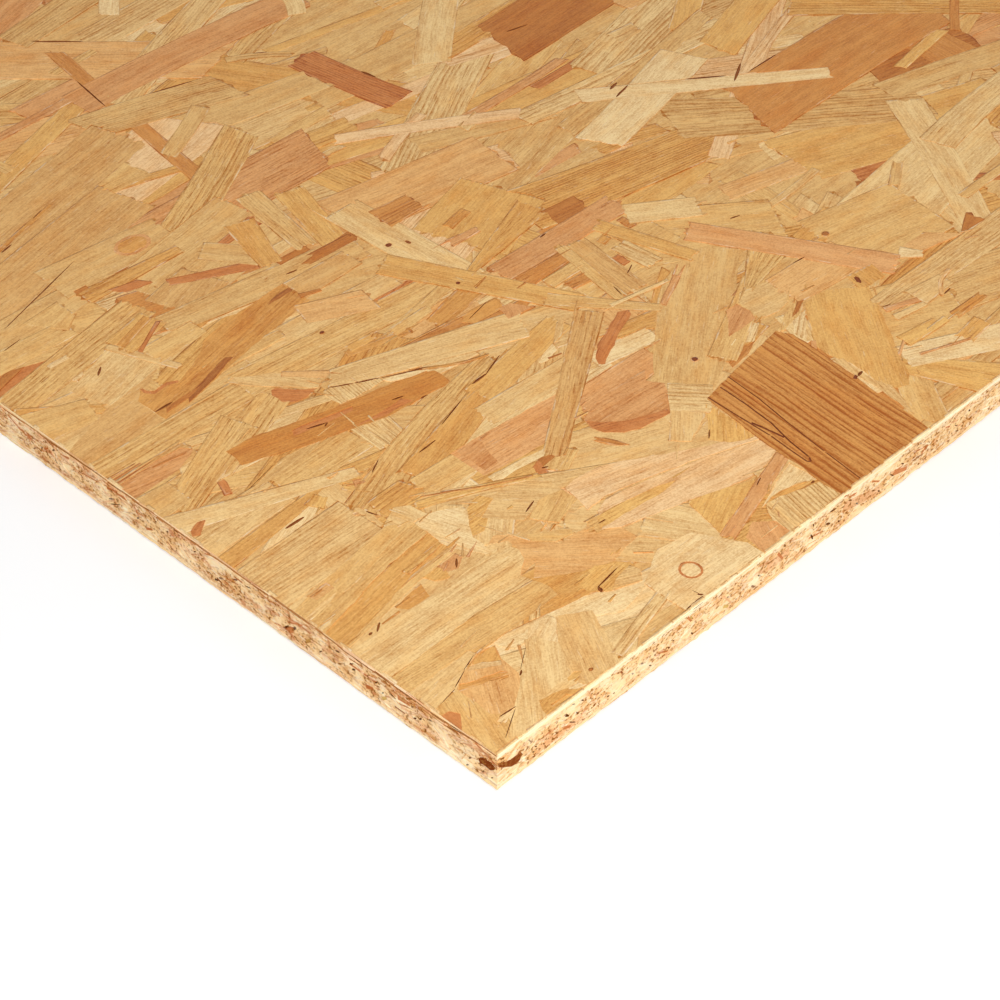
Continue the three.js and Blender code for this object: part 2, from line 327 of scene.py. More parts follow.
    ("olive", 9, [(-3, 92), (24, 93), (50, 100), (61, 101), (60, 109), (20, 102.6), (-3, 98)], 0.15),
    ("amber", 8, [(-3, 72), (16, 76), (34, 80), (61, 82), (61, 94), (40, 92), (-3, 82)], 0.35),
    ("honey", 6, [(41, 83), (60.6, 86.4), (60.6, 88), (40, 86)], 0.9),
    ("biscuit", 6, [(34, 80.6), (61, 81.6), (61, 83), (44, 82.4)], 0.5),
    ("peach", 0, [(8, 101), (8.6, 97), (17.6, 96.6), (17.4, 101)], 0.2),
    ("pale", 4, [(-3, 86), (9, 87), (4, 84.6), (-3, 83.6)], 0.1),
    ("pale", 4, [(-3, 90.4), (12, 92.4), (17, 94.6), (10, 94.6), (-3, 92.6)], 0.2),
    ("pale", 14, 1, 81.5, 10, 82.6, 1.0, 0.6),
    ("white", -70, [(61, 101), (61, 85), (64, 76), (66, 71), (71, 70), (70.4, 81), (80, 94), (75, 98),
     (68, 101.4)], 0.1),
    ("pale", -75, [(60, 102), (68, 101), (67, 109), (62, 113), (52, 108)], 0.1),
    ("cream", -70, [(60, 88), (62, 80), (66, 72), (64.6, 79), (62, 88)], 0.1),
    ("straw", 8, [(-3, 69), (68, 69), (66, 73), (62, 80.6), (40, 78), (18, 74.4), (-3, 71)], 0.25),
    ("gold", 8, [(43, 78.4), (44.4, 74), (50, 71.4), (52, 79)], 0.3),
    ("rosewood", 22, [(50.4, 78.6), (51.6, 74), (55, 73), (61, 76.6), (60, 79.6)], 0.3),
    ("caramel", 0, [(25, 74.4), (28, 70.4), (38, 69.6), (40.6, 77)], 0.2),
    ("pale", 0, [(-12, 41), (30, 38.6), (69, 50), (67.6, 54.4), (74, 57), (77, 61), (77.4, 65),
     (75.4, 69.4), (-12, 70)], 0.4),
    ("olive", -4, [(-4, 41), (32, 38), (40, 37.8), (70, 38), (71, 43), (69, 50), (40, 52),
     (-4, 50)], 0.3, "streaked"),
    ("peach", -42, [(72, 74), (76, 76.2), (79, 74), (82, 68), (85, 62), (90, 56), (105, 55), (112, 51),
     (112, 39), (96, 36), (85, 40), (77, 45), (70, 50), (77, 56), (68, 54.5), (75, 59), (77.4, 64),
     (78, 70)], 0.1),
    ("pale", -60, [(70, 75), (72, 73.8), (76.4, 71.4), (77, 70.2), (70, 70.6)], 0.1),
    ("olive", -46, [(84, 64), (90, 58), (98, 56), (98, 60), (90, 64), (85, 68)], 0.3),
    ("gold", 6, [(78, 32), (80, 38.6), (90, 39), (98.6, 33), (100, 26), (96, 22), (84, 26)], 0.45),
    ("straw", -26, [(84, 26), (96, 22), (100, 26), (99, 30), (90, 29)], 0.5),
    ("white", -14, [(36, 37.6), (48, 33.4), (60, 34), (76, 31), (84, 26), (96, 19), (80, 16), (60, 28),
     (40, 30)], 0.1),
    ("olive", 70, [(-3, -3), (10, -3), (16, 12), (14, 30), (0, 30), (-3, 20)], 0.25),
    ("straw", 8, [(-3, 29), (6, 30), (12, 31.6), (20, 35.4), (29, 38.6), (28, 41), (-3, 41)], 0.15),
    ("peach", 55, [(12, 30.6), (12, 14), (14, 11.6), (20, 11), (28, 16), (32, 21), (33, 30), (36, 36.4),
     (29, 38.4), (20, 35.2)], 0.15),
    ("amber", 20, [(24, 35.6), (26, 32), (31, 28), (33, 30), (36.2, 36.4), (29, 37.8)], 0.2),
    ("cream", -40, [(21, 34.4), (25, 31.4), (31, 27.6), (32.6, 29.6), (27, 33.4), (23, 35.4)], 0.2),
    ("caramel", -25, [(12, 29), (20, 26), (30, 23.6), (29, 26), (20, 29), (14, 32)], 0.2),
    ("cream", 20, [(47, 30.4), (52.6, 21.6), (61, 31), (60, 34), (50, 34)], 0.1),
    ("pale", 48, [(3, -3), (24, -3), (27, 7), (44, 8), (52, 20), (49.4, 29), (45, 30.6), (42, 27),
     (34, 21.4), (20, 10.8), (9, 3.6)], 0.3),
    ("straw", 60, [(44, 8), (42, -3), (60, -3), (68, 15), (72, 24), (61.4, 31), (53, 22), (50.4, 18)], 0.2),
    ("amber", 5, [(23.4, -3), (25, 3), (27.4, 7.2), (33, 6), (41, 3), (44, -3)], 0.5),
    ("honey", 5, [(28, -3), (29, 3), (36, 2.4), (40, -3)], 0.5),
    ("honey", 10, [(41, 6.4), (44, 4.8), (48, 6.2), (46, 8.2), (42, 7.8)], 0.2),
    ("cream", -20, [(38, 3.6), (41, 1.2), (44.6, 0.8), (43, 3), (40, 4.2)], 0.2),
    ("rust", 80, [(-3, 14), (2, 18), (4.6, 21.6), (3, 25), (-3, 26)], 0.3),
    ("cream", 10, [(10.6, 10.4), (12, 7.6), (16, 9.4), (20.4, 10.7), (14, 11.4)], 0.1),
    ("pale", 62, 3, 100, 13, 5, 5, 0, 0.9),
    ("pale", 122, 44, 136, 18, 22, 16, 0, 0.1),
    ("cream", 0, [(95, 0), (137, 0), (137, 8), (132, 17), (127, 26), (112, 29), (95, 20)], 0.1),
    ("olive", 104, 54, 158, 46, 8, 10, 0, 0.4),
    ("rose", -8, [(106, 50), (112, 58), (120, 60.6), (140, 56), (160, 50.4), (185, 41), (184, 33),
     (176, 31), (165, 30), (152, 34), (140, 38), (126, 42), (112, 46)], 0.15),
    ("gold", -5, [(106, 51), (110, 56), (120, 55.6), (138, 51.6), (145, 49), (138, 48), (118, 50)], 0.4),
    ("rose", -16, [(113, 75), (118, 76.4), (130, 75), (140, 70), (150, 64), (160, 58), (175, 50),
     (185, 44), (185, 42), (160, 51.4), (140, 57), (120, 62), (110, 61), (112.6, 70)], 0.2),
    ("gold", 22, [(139, 38), (134, 17), (150, 22), (166, 28), (152, 34)], 0.25),
    ("straw", 166, 25, 190, 18, 14, 14),
    ("pale", 76, [(151.6, -3), (152, 8), (155, 13), (158, 16.6), (164, 16), (171, 13.4), (182, 10),
     (182, -3)], 1.0),
    ("cream", 15, [(155.6, 16.6), (163, 18), (175, 16), (182, 12), (182, 25.4), (170, 22),
     (163, 19.4)], 0.4),
    ("rosewood", 134, 15, 184, 30, 6, 6, 0, 0.2),
    ("straw", 40, [(166, 60), (181, 66), (188, 72), (192, 78), (176, 79), (168, 72), (160, 66)], 0.3),
    ("gold", 42, [(171, 56), (176, 60), (187, 71), (187, 50), (185, 44), (180, 46), (175, 49)], 0.35),
    ("tan", 34, [(183.8, 93.7), (192.5, 102.6), (203, 111), (213, 119.4), (222.6, 127.2), (234.6, 134),
     (246, 137.6), (260, 139.8), (267, 134), (272.6, 126.6), (262, 118), (252, 110.4), (242, 107),
     (236, 103), (227, 94.6), (219, 87.6), (212.8, 81.6), (204, 78), (197, 75.6), (191, 82),
     (185.6, 89.2)], 0.15),
    ("pale", -50, [(185.6, 89.2), (197, 75.6), (183.6, 65.2), (174, 77.5)], 0.9),
    ("amber", 216, 83, 240, 88, 8, 8, 0, 0.4),
    ("cream", 24, [(221, 87), (229, 82), (240, 88), (238, 90.5), (229, 90), (224, 89.6)], 0.9),
    ("copper", 12, [(211, 77.4), (222, 79), (229, 82), (223, 83.4), (213, 82)], 0.5),
    ("olive", 212, 84, 262, 108, 12, 12, 0, 0.3),
    ("olive", 254, 106, 290, 122, 4, 22, 0, 1.0),
    ("rosewood", 20, [(224, 91), (231, 97), (237, 103), (243, 103), (243, 96), (241, 91)], 0.4),
    ("straw", -8, [(242, 90), (244, 103), (250, 106.6), (262, 104), (270, 96), (259, 89),
     (250, 87.6)], 0.15),
    ("peach", 262, 95, 302, 92, 20, 22, 0, 0.1),
    ("pale", 244, 66, 252, 84, 8, 12),
    ("olive", 30, [(240, 80), (243, 78), (250, 79.6), (258, 81), (262, 84), (258, 87), (250, 84),
     (243, 80.6)], 0.7),
    ("brown", 26, [(251, 81.4), (261, 86), (264, 85.4), (256, 81.6)], 0.4),
    ("cream", 236, 28, 246, 50, 10, 12),
    ("olive", 238, 2, 256, 26, 16, 14, 0, 0.2),
    ("gold", 280, -8, 258, 32, 24, 10, 0, 0.3),
    ("honey", 50, [(243, 32), (245, 24), (250, 22), (255, 26), (262, 36), (270, 46), (281, 61),
     (289, 72.6), (275, 83), (268, 84), (262, 83), (252, 73), (243.4, 63), (242.6, 54), (245, 46)], 0.15),
    ("cream", 262, 34, 304, 12, 14, 16, 0, 0.1),
    ("rosewood", 268, 30.6, 290, 22, 1.6, 1.2),
    ("salmon", 262, 36, 272, 41, 1.4, 1.0),
    ("russet", 83, [(181, -3), (233, -3), (236, 10), (237, 25), (240, 45), (243, 65), (243, 74),
     (240, 80), (206, 75), (189, 72), (186, 50), (184, 40), (183, 20), (181, 8)], 1.0, "grooved"),
    ("bark", 238, 39, 243, 41, 1.6, 0.8),
    # between the dark strand and its neighbours
    ("straw", 70, [(240.6, 52), (240, 30), (238, 18), (236.6, 9), (241, 17), (244.6, 26), (242.6, 34),
     (243.6, 44), (245, 50)], 0.3),
    ("cream", 30, [(243.4, 68), (247, 70), (252, 75), (259, 80.6), (250, 79.4), (244, 74)], 0.7),
    ("rosewood", 20, [(242.4, 61), (246.6, 65), (245, 66), (242.6, 64)], 0.2),
    ("salmon", 60, [(137, -3), (152, -3), (153, 8), (147, 14), (139, 10)], 0.25),
    ("straw", 282, 60, 372, 59, 13, 17, 0, 0.7),
    ("rosewood", 281, 58, 297, 52, 3, 3),
    ("straw", 280, 52, 296, 49, 4, 3),
    ("straw", 296, 54, 315, 53, 12, 8),
    ("peach", 305, 48, 321, 56, 2, 2, 2),
    ("caramel", 297, 36, 317, 36, 5, 4, 0, 0.8),
    ("gold", 270, 40, 290, 38, 8, 6),
    ("gold", 282, 37, 294, 37, 3, 4),
    ("amber", 288, 24, 303, 26, 8, 8),
    ("peach", -25, [(319, 79), (322, 72), (345, 67), (334, 79)], 0.2),
    ("cream", 316, 78, 322, 70, 8, 4),
    ("brown", 346, 68, 359, 71, 1, 9),
    ("salmon", 267, 150, 309, 73, 13, 14, 0, 0.05),
    # the middle of the top, past the wide tan strand
    ("pale", 178, 264, 180, 190, 19, 18, 0, 0.15),
    ("copper", 184, 247, 204, 246, 15, 12, 0, 0.8),
    ("caramel", 200, 223, 214, 226, 5, 5),
    ("rosewood", 192, 214, 208, 213, 5, 4),
    ("amber", 180, 193, 236, 208, 3, 16, 0, 0.5),
    ("brown", 234, 196, 252, 194, 14, 14, 0, 0.3),
    ("copper", 194, 174, 224, 174, 9, 7, 0, 0.3),
    ("olive", 200, 166, 220, 166, 7, 7),
    ("copper", 205, 159, 216, 158, 6, 7),
    ("rosewood", 191, 185, 262, 184, 13, 14, 0, 0.35),
    ("rust", 231, 156, 235, 156, 7, 7),
    ("biscuit", 228, 178, 222, 138, 12, 12, 0, 0.3),
    ("olive", 222, 180, 214, 138, 6, 6, 0, 0.4),
    ("pale", 240, 164, 241, 144, 9, 9, 0, 0.8),
    ("honey", 244, 180, 256, 136, 8, 8, 0, 0.3),
    ("caramel", 236, 170, 241, 171, 4, 4),
    ("copper", 252, 172, 256, 172, 8, 8, 0, 0.8),
    ("pale", 258, 176, 284, 158, 14, 14),
    ("honey", 163, 224, 200, 148, 14, 12, 0, 0.25),
    ("olive", 192, 160, 220, 123, 9, 5, 0, 0.2),
    ("rosewood", 222, 123.6, 241, 132.6, 2.6, 3.4, 0, 0.6),
    ("pale", 207, 138, 236, 133, 2.5, 2),
    ("straw", 96, 184, 175, 155, 12, 18, 0, 0.3, 6, 4),
    ("white", -30, [(111, 169.4), (118, 166.6), (128.6, 161), (120, 162.6), (112, 166)], 0.1),
    ("caramel", 126, 163.4, 151, 151, 2.0, 1.0, -1.5),
    ("white", 10, [(160, 133), (166, 136.4), (173, 138), (171, 134), (164, 131.6)], 0.2),
    ("brown", 165, 132.6, 171, 131, 1.0, 0.6),
    ("straw", 30, [(172, 137), (184, 146), (190, 147), (180, 139)], 0.4),
    ("pale", 85, [(88.6, 178), (90, 180.4), (94, 180.6), (100, 176.8), (106, 173.8), (110.6, 171),
     (110.6, 168.6), (97, 169), (89.4, 170.4)], 0.9),
    ("rust", 70, [(23.6, 162), (26.6, 160.8), (29, 167), (29.4, 169), (26.6, 169.4)], 0.2),
    ("rust", 26, [(0.4, 153.4), (3, 152), (9.8, 156.8), (7, 158), (2, 156)], 0.3),
    ("rosewood", 60, [(172.6, 161), (174.6, 169), (180.6, 168), (184.4, 160)], 0.3),
    ("amber", 82, [(285, 74), (288, 82.6), (302, 81), (299, 72), (290, 72)], 0.3),
    ("bark", 60, [(290.7, 80.4), (289.1, 80), (287.8, 77.7), (288.1, 76), (289.8, 76.5), (291, 78.6)], 0),
]

# Gaps beside some of those strands, sunk into the face and painted dark brown, partly as painted shade inside
# them: the two ends and the greatest width.
CORNER_CRACKS = [
    (93.6, 0.4, 100.6, 1.2, 0.7), (100, 1.1, 105, 1.0, 0.9), (104.4, 5.8, 104.8, 2.4, 0.4),
    (3, 29.6, 12, 31.2, 0.5), (12, 31.6, 20.4, 35.2, 0.6), (20, 35.4, 28, 38.2, 0.5),
    (12.6, 11.4, 20.4, 10.7, 0.7), (7, 3, 20, 10.6, 0.45), (33.6, 21.6, 43, 28, 0.35),
    (9.5, 71, 11.4, 71.3, 1.6), (12.6, 70.2, 16.6, 73, 1.5), (31.5, 19.8, 34, 21.4, 1.2),
    (55, 73.6, 58.5, 77, 1.2), (82, 30.6, 95, 32.6, 1.0), (81.5, 28, 83, 30.8, 1.6),
    (93.5, 76.5, 100.5, 78.8, 1.1), (104, 3, 105.6, 1.4, 1.3), (107.5, 53.4, 111, 53.0, 1.0),
    (178.5, 12, 180.5, 12.4, 1.5), (240.2, 39, 244, 40, 2.0), (163.5, 25.7, 168, 27.6, 0.9),
    (171.6, 55.8, 176, 59.4, 0.8), (26.5, 132.6, 36, 132.4, 2.0), (70, 132.6, 77, 136.4, 0.9),
    (90, 128.2, 100, 129, 1.1), (107, 133.6, 124, 139, 0.8), (133, 142.8, 142, 143.4, 1.5),
    (141, 143.2, 154, 148, 1.0), (53.5, 118.6, 55, 114, 1.3), (36, 250, 40.5, 253.6, 1.5),
    (131, 246.6, 136.5, 245.6, 1.3), (115.6, 89.4, 118, 88, 1.2), (37, 217.4, 46, 217.2, 1.6),
    (28, 299.2, 78, 315.6, 0.9), (60, 341.2, 67, 343, 1.3), (20, 288.4, 30, 290, 0.8),
    (84, 351, 91, 353.6, 0.7), (221, 190.2, 225, 190.6, 1.2), (281.5, 60, 286, 58.5, 0.8),
    (306, 47.4, 311, 48, 1.1), (280, 104.2, 286.5, 103.4, 0.9), (286, 143, 291, 141.6, 1.2),
    (227.5, 147.6, 234, 150.8, 0.9), (215.6, 139.6, 217.4, 146, 0.8), (161, 172.4, 176, 175.8, 0.6),
    (93.4, 180.4, 102, 175.6, 1.1), (101.6, 175.8, 111, 170.8, 1.2), (110.4, 171.2, 129, 162.2, 1.0),
    (70, 168.8, 79, 165.6, 1.4), (76, 164.6, 78.4, 165.6, 1.2), (104.6, 157.8, 109.6, 156.4, 1.3),
    (113, 150.8, 117, 150.4, 0.9), (31, 158, 51, 162.8, 0.4),
]

# Knots in the same corner: the tones of the ring and of the heart, the middle,
# and the reach along and across.
CORNER_KNOTS = [
    ("rust", "cream", 112, 13, 4.4, 4.8),
    ("rosewood", "caramel", 101, 307, 8.6, 6.4),
    ("copper", "bark", 174, 231.2, 1.6, 1.4),
    ("rosewood", "bark", 204.4, 91.4, 1.6, 1.5),
    ("caramel", "umber", 305.2, 107.6, 2.0, 1.8),
    ("brown", "bark", 115, 208, 1.1, 0.9),
    ("brown", "bark", 175.4, 192.4, 1.0, 1.0),
    ("crack", "brown", 50.6, 4.6, 1.0, 0.8),
    ("copper", "crack", 181, 227, 0.9, 1.7),
    ("brown", "bark", 82.2, 29.2, 0.9, 1.2),
]

# Fine black resin lines on the dark brown strand: the width, then the bends.
RESIN_LINES = [
    (0.7, (190, 72), (189.4, 56), (189, 40), (187.6, 28), (187, 21), (188, 20), (189.4, 22),
     (191.5, 33), (195, 45), (197, 60), (198, 73)),
    (0.6, (205, 75), (203, 58), (199.4, 40), (196, 20), (193, 0)),
    (1.0, (190, 50), (191.2, 42), (191.8, 36)),
]


def strand_wood(name, wax=0.28, sawn=False):
    """Waxed softwood with fibres, growth lines and streaks that follow each strand. A sawn
    face is crumbly as well between the face layers, where the saw cut strands across."""
    wood = bpy.data.materials.new(name)
    wood.use_nodes = True
    nodes, links = wood.node_tree.nodes, wood.node_tree.links
    surface = nodes["Principled BSDF"]

    def put(kind, inputs, **settings):
        made = nodes.new("ShaderNode" + kind)
        for key, value in settings.items():
            setattr(made, key, value)
        for key, value in inputs.items():
            socket = made.inputs[{"A": 6, "B": 7}.get(key, key)]
            if isinstance(value, bpy.types.NodeSocket):
                links.new(value, socket)
            else:
                socket.default_value = value
        return made

    def calc(operation, *values, clamp=False):
        return put("Math", dict(enumerate(values)), operation=operation, use_clamp=clamp).outputs[0]

    def times(first, *others):
        for other in others:
            first = calc("MULTIPLY", first, other)
        return first

    def ramp(value, a, b, to_a=0.0, to_b=1.0):
        return put("MapRange", {0: value, 1: a, 2: b, 3: to_a, 4: to_b}).outputs[0]

    def dye(factor, under, over, how="MIX"):
        inputs = {"Factor": factor, "A": under, "B": over}
        return put("Mix", inputs, data_type="RGBA", blend_type=how).outputs[2]

    def split(value):
        return put("SeparateXYZ", {0: value}).outputs

    def split_colour(value):
        return put("SeparateColor", {0: value}).outputs

    def noise(at, scale, detail, rough=0.5):
        inputs = {"Vector": at, "Scale": scale, "Detail": detail, "Roughness": rough}
        return put("TexNoise", inputs).outputs["Fac"]

    def cells(at, scale):
        return split_colour(put("TexVoronoi", {"Vector": at, "Scale": scale}, feature="F1").outputs["Color"])

    def stretched(at, share):
        return put("Mapping", {"Vector": at, "Scale": (share, share, 1.0)}).outputs[0]

    along, across, _ = split(put("UVMap", {}, uv_map="grain").outputs[0])
    half_length, half_width, _ = split(put("UVMap", {}, uv_map="reach").outputs[0])
    tone = put("VertexColor", {}, layer_name="tone").outputs[0]
    seed, grooves, mark = split_colour(put("VertexColor", {}, layer_name="look").outputs[0])
    unmarked = calc("SUBTRACT", 1.0, mark, clamp=True)
    spot = put("TexCoord", {}).outputs["Object"]

    def grain_noise(stretch, fine, shift, detail=2.0, rough=0.55, v=across):
        """Noise drawn out along the grain: its fineness along and across it, per millimetre."""
        lay = put("CombineXYZ", {0: times(along, stretch), 1: times(v, fine)}).outputs[0]
        turn = calc("MULTIPLY_ADD", seed, 300.0, shift)
        inputs = {"Vector": lay, "W": turn, "Scale": 1.0, "Detail": detail, "Roughness": rough}
        return put("TexNoise", inputs, noise_dimensions="4D").outputs["Fac"]

    # growth lines, which waver and fade in and out
    waver = grain_noise(0.012, 0.03, 0.0, detail=1.0)
    wavy = calc("MULTIPLY_ADD", waver, 7.0, across)
    broad = calc("MAXIMUM", calc("SUBTRACT", mark, 0.5), 0.0)
    period = calc("MULTIPLY_ADD", calc("FRACT", times(seed, 37.0)), 1.5, 1.3)
    period = calc("MULTIPLY_ADD", broad, 1.8, period)
    uneven = times(grain_noise(0.006, 0.22, 17.0, detail=1.0), calc("MULTIPLY_ADD", broad, 0.8, 1.6))
    ring = calc("FRACT", calc("ADD", calc("DIVIDE", wavy, period), uneven))
    late_wood = times(ramp(ring, 0.4, 0.86), ramp(ring, 1.0, 0.88))
    bands = grain_noise(0.014, 0.20, 11.0, v=wavy)
    growth = times(late_wood, grooves, ramp(bands, 0.36, 0.56, 0.35, 1.0))

    # fibres, dashes, hairs and ticks, then stains, streaks and the dark rims of the strands, a painted shade
    # along their edges
    fibre = grain_noise(0.09, 1.6, 5.0, detail=3.0, rough=0.75, v=wavy)
    rough_grain = calc("MULTIPLY_ADD", grooves, 0.8, 0.3)
    dashes = times(ramp(grain_noise(0.13, 1.8, 23.0, detail=0.0, v=wavy), 0.67, 0.79), rough_grain)
    hairs = ramp(grain_noise(0.14, 1.9, 29.0, detail=0.0, v=wavy), 0.68, 0.8)
    ticks = times(ramp(grain_noise(0.22, 3.0, 47.0, detail=0.0, v=wavy), 0.66, 0.74), rough_grain)
    mottle = noise(spot, 1100.0, 2.0, 0.7)
    stain = noise(spot, 120.0, 3.0)
    streaks = times(ramp(grain_noise(0.018, 0.2, 31.0, v=wavy), 0.56, 0.72), mark)
    side_gap = calc("SUBTRACT", half_width, calc("ABSOLUTE", across))
    end_gap = calc("SUBTRACT", half_length, calc("ABSOLUTE", along))
    gap = calc("MINIMUM", side_gap, end_gap)
    # rim: a dark line painted just inside each strand's edge, as painted shade where it meets its neighbours
    rim = times(ramp(gap, 0.5, 0.0), ramp(grain_noise(0.05, 0.3, 41.0), 0.38, 0.58))

    waves = [(fibre, 0.4 if sawn else 1.35), (bands, 0.85), (mottle, 0.6 if sawn else 1.1)]
    marks = [(calc("SUBTRACT", wave, 0.5), strength) for wave, strength in waves]
    marks += [
        (ticks, 0.1 if sawn else 0.4),
        (growth, calc("MULTIPLY_ADD", broad, 0.6, 0.5)),
        (dashes, 0.15 if sawn else 0.5),
        (hairs, -0.3),
        (rim, 0.12 if sawn else 0.6),
    ]
    if sawn:
        # the crumbly core: flakes, holes and scorched or rusty bits, in clusters
        height = split(spot)[2]
        core = times(ramp(height, 0.0008, 0.003), ramp(height, 0.0158, 0.0142))
        loose = times(ramp(noise(spot, 95.0, 2.0), 0.36, 0.6), core)
        holes = noise(stretched(spot, 0.7), 820.0, 2.0, 0.6)
        rare = calc("MULTIPLY_ADD", grooves, 0.03, 0.575)
        crumbs = times(ramp(holes, rare, calc("ADD", rare, 0.025)), loose)
        singed = times(ramp(holes, 0.505, 0.585), loose)
        torn = ramp(grain_noise(0.10, 0.85, 61.0, detail=2.0, v=wavy), 0.53, 0.66)
        torn = times(torn, core, grooves, unmarked)
        flake = cells(stretched(spot, 0.6), 900.0)
        fluff = times(ramp(flake[1], 0.6, 1.0), calc("MULTIPLY_ADD", core, 0.2, 0.45), unmarked)
        fluff = times(fluff, calc("MULTIPLY_ADD", grooves, -0.5, 1.0))
        rust = calc("MAXIMUM", ramp(flake[2], 0.6, 1.0), ramp(cells(spot, 420.0)[0], 0.80, 0.92))
        rust = times(rust, loose, unmarked, grooves)
        marks += [(times(calc("POWER", flake[0], 5.0), core), 0.5), (loose, 0.32), (crumbs, 0.3)]

    # how dark the wood is, the painted rim shade included; its relief follows this, but not the stains and
    # streaks
    dark = -0.12 if sawn else 0.2
    for value, strength in marks:
        dark = calc("MULTIPLY_ADD", value, strength, dark)
    furrows = calc("ADD", dark, 0.0, clamp=True)
    dark = calc("MULTIPLY_ADD", calc("SUBTRACT", stain, 0.5), 0.4, dark)
    dark = calc("MULTIPLY_ADD", streaks, 0.5, dark, clamp=True)

    light = (1.07, 1.10, 1.10, 1) if sawn else (1.164, 1.182, 1.120, 1)
    blush = ramp(grain_noise(0.045, 0.14, 13.0, detail=3.0, rough=0.6, v=wavy), 0.46, 0.72)
    flush = dye(times(blush, 0.25 if sawn else 0.85), WHITE, (0.98, 0.83, 0.64, 1))
    cast = dye(1.0, dye(dark, light, (0.62, 0.36, 0.12, 1)), flush, "MULTIPLY")
    colour = dye(1.0, tone, cast, "MULTIPLY")
    if sawn:
        colour = dye(times(loose, 0.75), colour, (0.96, 0.84, 0.68, 1), "MULTIPLY")
        colour = dye(rust, colour, (0.62, 0.22, 0.09, 1))
        colour = dye(fluff, colour, (1.0, 0.84, 0.60, 1))
        colour = dye(times(torn, 0.78), colour, (0.48, 0.18, 0.055, 1))
        colour = dye(times(singed, 0.75), colour, (0.60, 0.25, 0.07, 1))
        colour = dye(times(crumbs, 0.9), colour, (0.26, 0.09, 0.012, 1))
        relief = calc("MULTIPLY_ADD", fluff, 0.5, times(furrows, -0.9))
    else:
        # pale fibres along the rims of the lighter strands, and pale shreds: partly their own paler torn
        # fibres, partly a painted highlight on the raised rims
        lifted = times(ramp(gap, 1.1, 0.5), ramp(gap, 0.0, 0.25))
        lifted = times(lifted, ramp(grain_noise(0.10, 0.6, 53.0, detail=3.0, rough=0.7), 0.53, 0.62))
        shreds = ramp(grain_noise(0.16, 2.2, 59.0, detail=1.0, v=wavy), 0.66, 0.74)
        lifted = calc("MAXIMUM", lifted, times(shreds, 0.6))
        lifted = times(lifted, ramp(split_colour(tone)[0], 0.55, 0.75), unmarked)
        # the painted highlight along the rims is mixed into the colour here
        colour = dye(times(lifted, 0.55), colour, (1.0, 0.82, 0.56, 1))
        relief = calc("MULTIPLY_ADD", ramp(gap, 0.0, 0.6), 0.6, times(furrows, -0.5))
    links.new(colour, surface.inputs["Base Color"])
    links.new(ramp(fibre, 0.3, 0.7, 0.78, 0.6), surface.inputs["Roughness"])
    surface.inputs["Specular IOR Level"].default_value = wax
    bump = {"Height": relief, "Strength": 0.5 if sawn else 0.9, "Distance": 0.00035}
    links.new(put("Bump", bump).outputs[0], surface.inputs["Normal"])
    return wood


STRAND_WOOD = strand_wood("strand_wood")


def shade(tone):
    """A tone's red, green and blue as light, each 0 to 1."""
    return tuple((c / 255) ** 2.2 for c in TONES[tone])


class Strand:
    """A sliver of wood with two ends, seen from above, that may taper, bow and end askew."""

    side_step, end_step, torn = 11.0, 2.8, 2.0
    depth, seed, mark = 0.0, 0.0, 0.0

    def __init__(self, tone, x0, y0, x1, y1, w0, w1, bow=0.0, grooves=0.15, cut0=0.0, cut1=0.0, look=""):
        self.tone, self.look, self.grooves = shade(tone), look, grooves
        self.start = Vector((x0, y0))
        along = Vector((x1, y1)) - self.start
        self.length = along.length
        self.axis = along.normalized()
        self.side = Vector((-self.axis.y, self.axis.x))
        self.w0, self.w1, self.bow, self.cut0, self.cut1 = w0, w1, bow, cut0, cut1
        self.width = (w0 + w1) / 2

    def laid(self, depth, rng, mark=0.0):
        """The strand itself, at a depth of its own and with a seed for its grain."""
        self.depth, self.seed, self.mark = depth, rng.random(), mark
        return self

    def point(self, s, t):
        """The place at share s of the length and share t of the width."""
        width = self.w0 + (self.w1 - self.w0) * s
        cut = self.cut0 + (self.cut1 - self.cut0) * s
        return (self.start + self.axis * (self.length * s + cut * (t - 0.5))
                + self.side * (width * (t - 0.5) + 4 * self.bow * s * (1 - s)))

    def grain(self, place):
        """Distance along and across the grain from the strand's middle."""
        s, t = 0.5, 0.5
        for _ in range(4):
            off = place - self.start - self.side * (4 * self.bow * s * (1 - s))
            width = max(self.w0 + (self.w1 - self.w0) * s, 0.3)
            t = min(max(off.dot(self.side) / width + 0.5, -0.2), 1.2)
            cut = self.cut0 + (self.cut1 - self.cut0) * s
            s = min(max((off.dot(self.axis) - cut * (t - 0.5)) / self.length, -0.2), 1.2)
        return (s - 0.5) * self.length, (t - 0.5) * self.width

    def covers(self, place):
        """Whether the place lies on this strand."""
        along, across = self.grain(place)
        return abs(along) < self.length / 2 and abs(across) < self.width / 2

    def outline(self, rng):
        """The outline, counter-clockwise: gently wandering sides and torn ends."""
        along = max(1, round(self.length / self.side_step))
        across = max(1, round(self.width / self.end_step))
        sway = min(0.25, self.width * 0.08)
        tear = min(self.torn, self.length * 0.1)

        def wander():
            return self.side * rng.uniform(-sway, sway)

        def nick():
            return self.axis * (tear * rng.choice((-1, 1)) * rng.random() ** 3)

        points = [self.point(i / along, 0) + wander() for i in range(along)]
        points += [self.point(1, i / across) + nick() for i in range(across)]
        points += [self.point(1 - i / along, 1) + wander() for i in range(along)]
        points += [self.point(0, 1 - i / across) + nick() for i in range(across)]
        return points


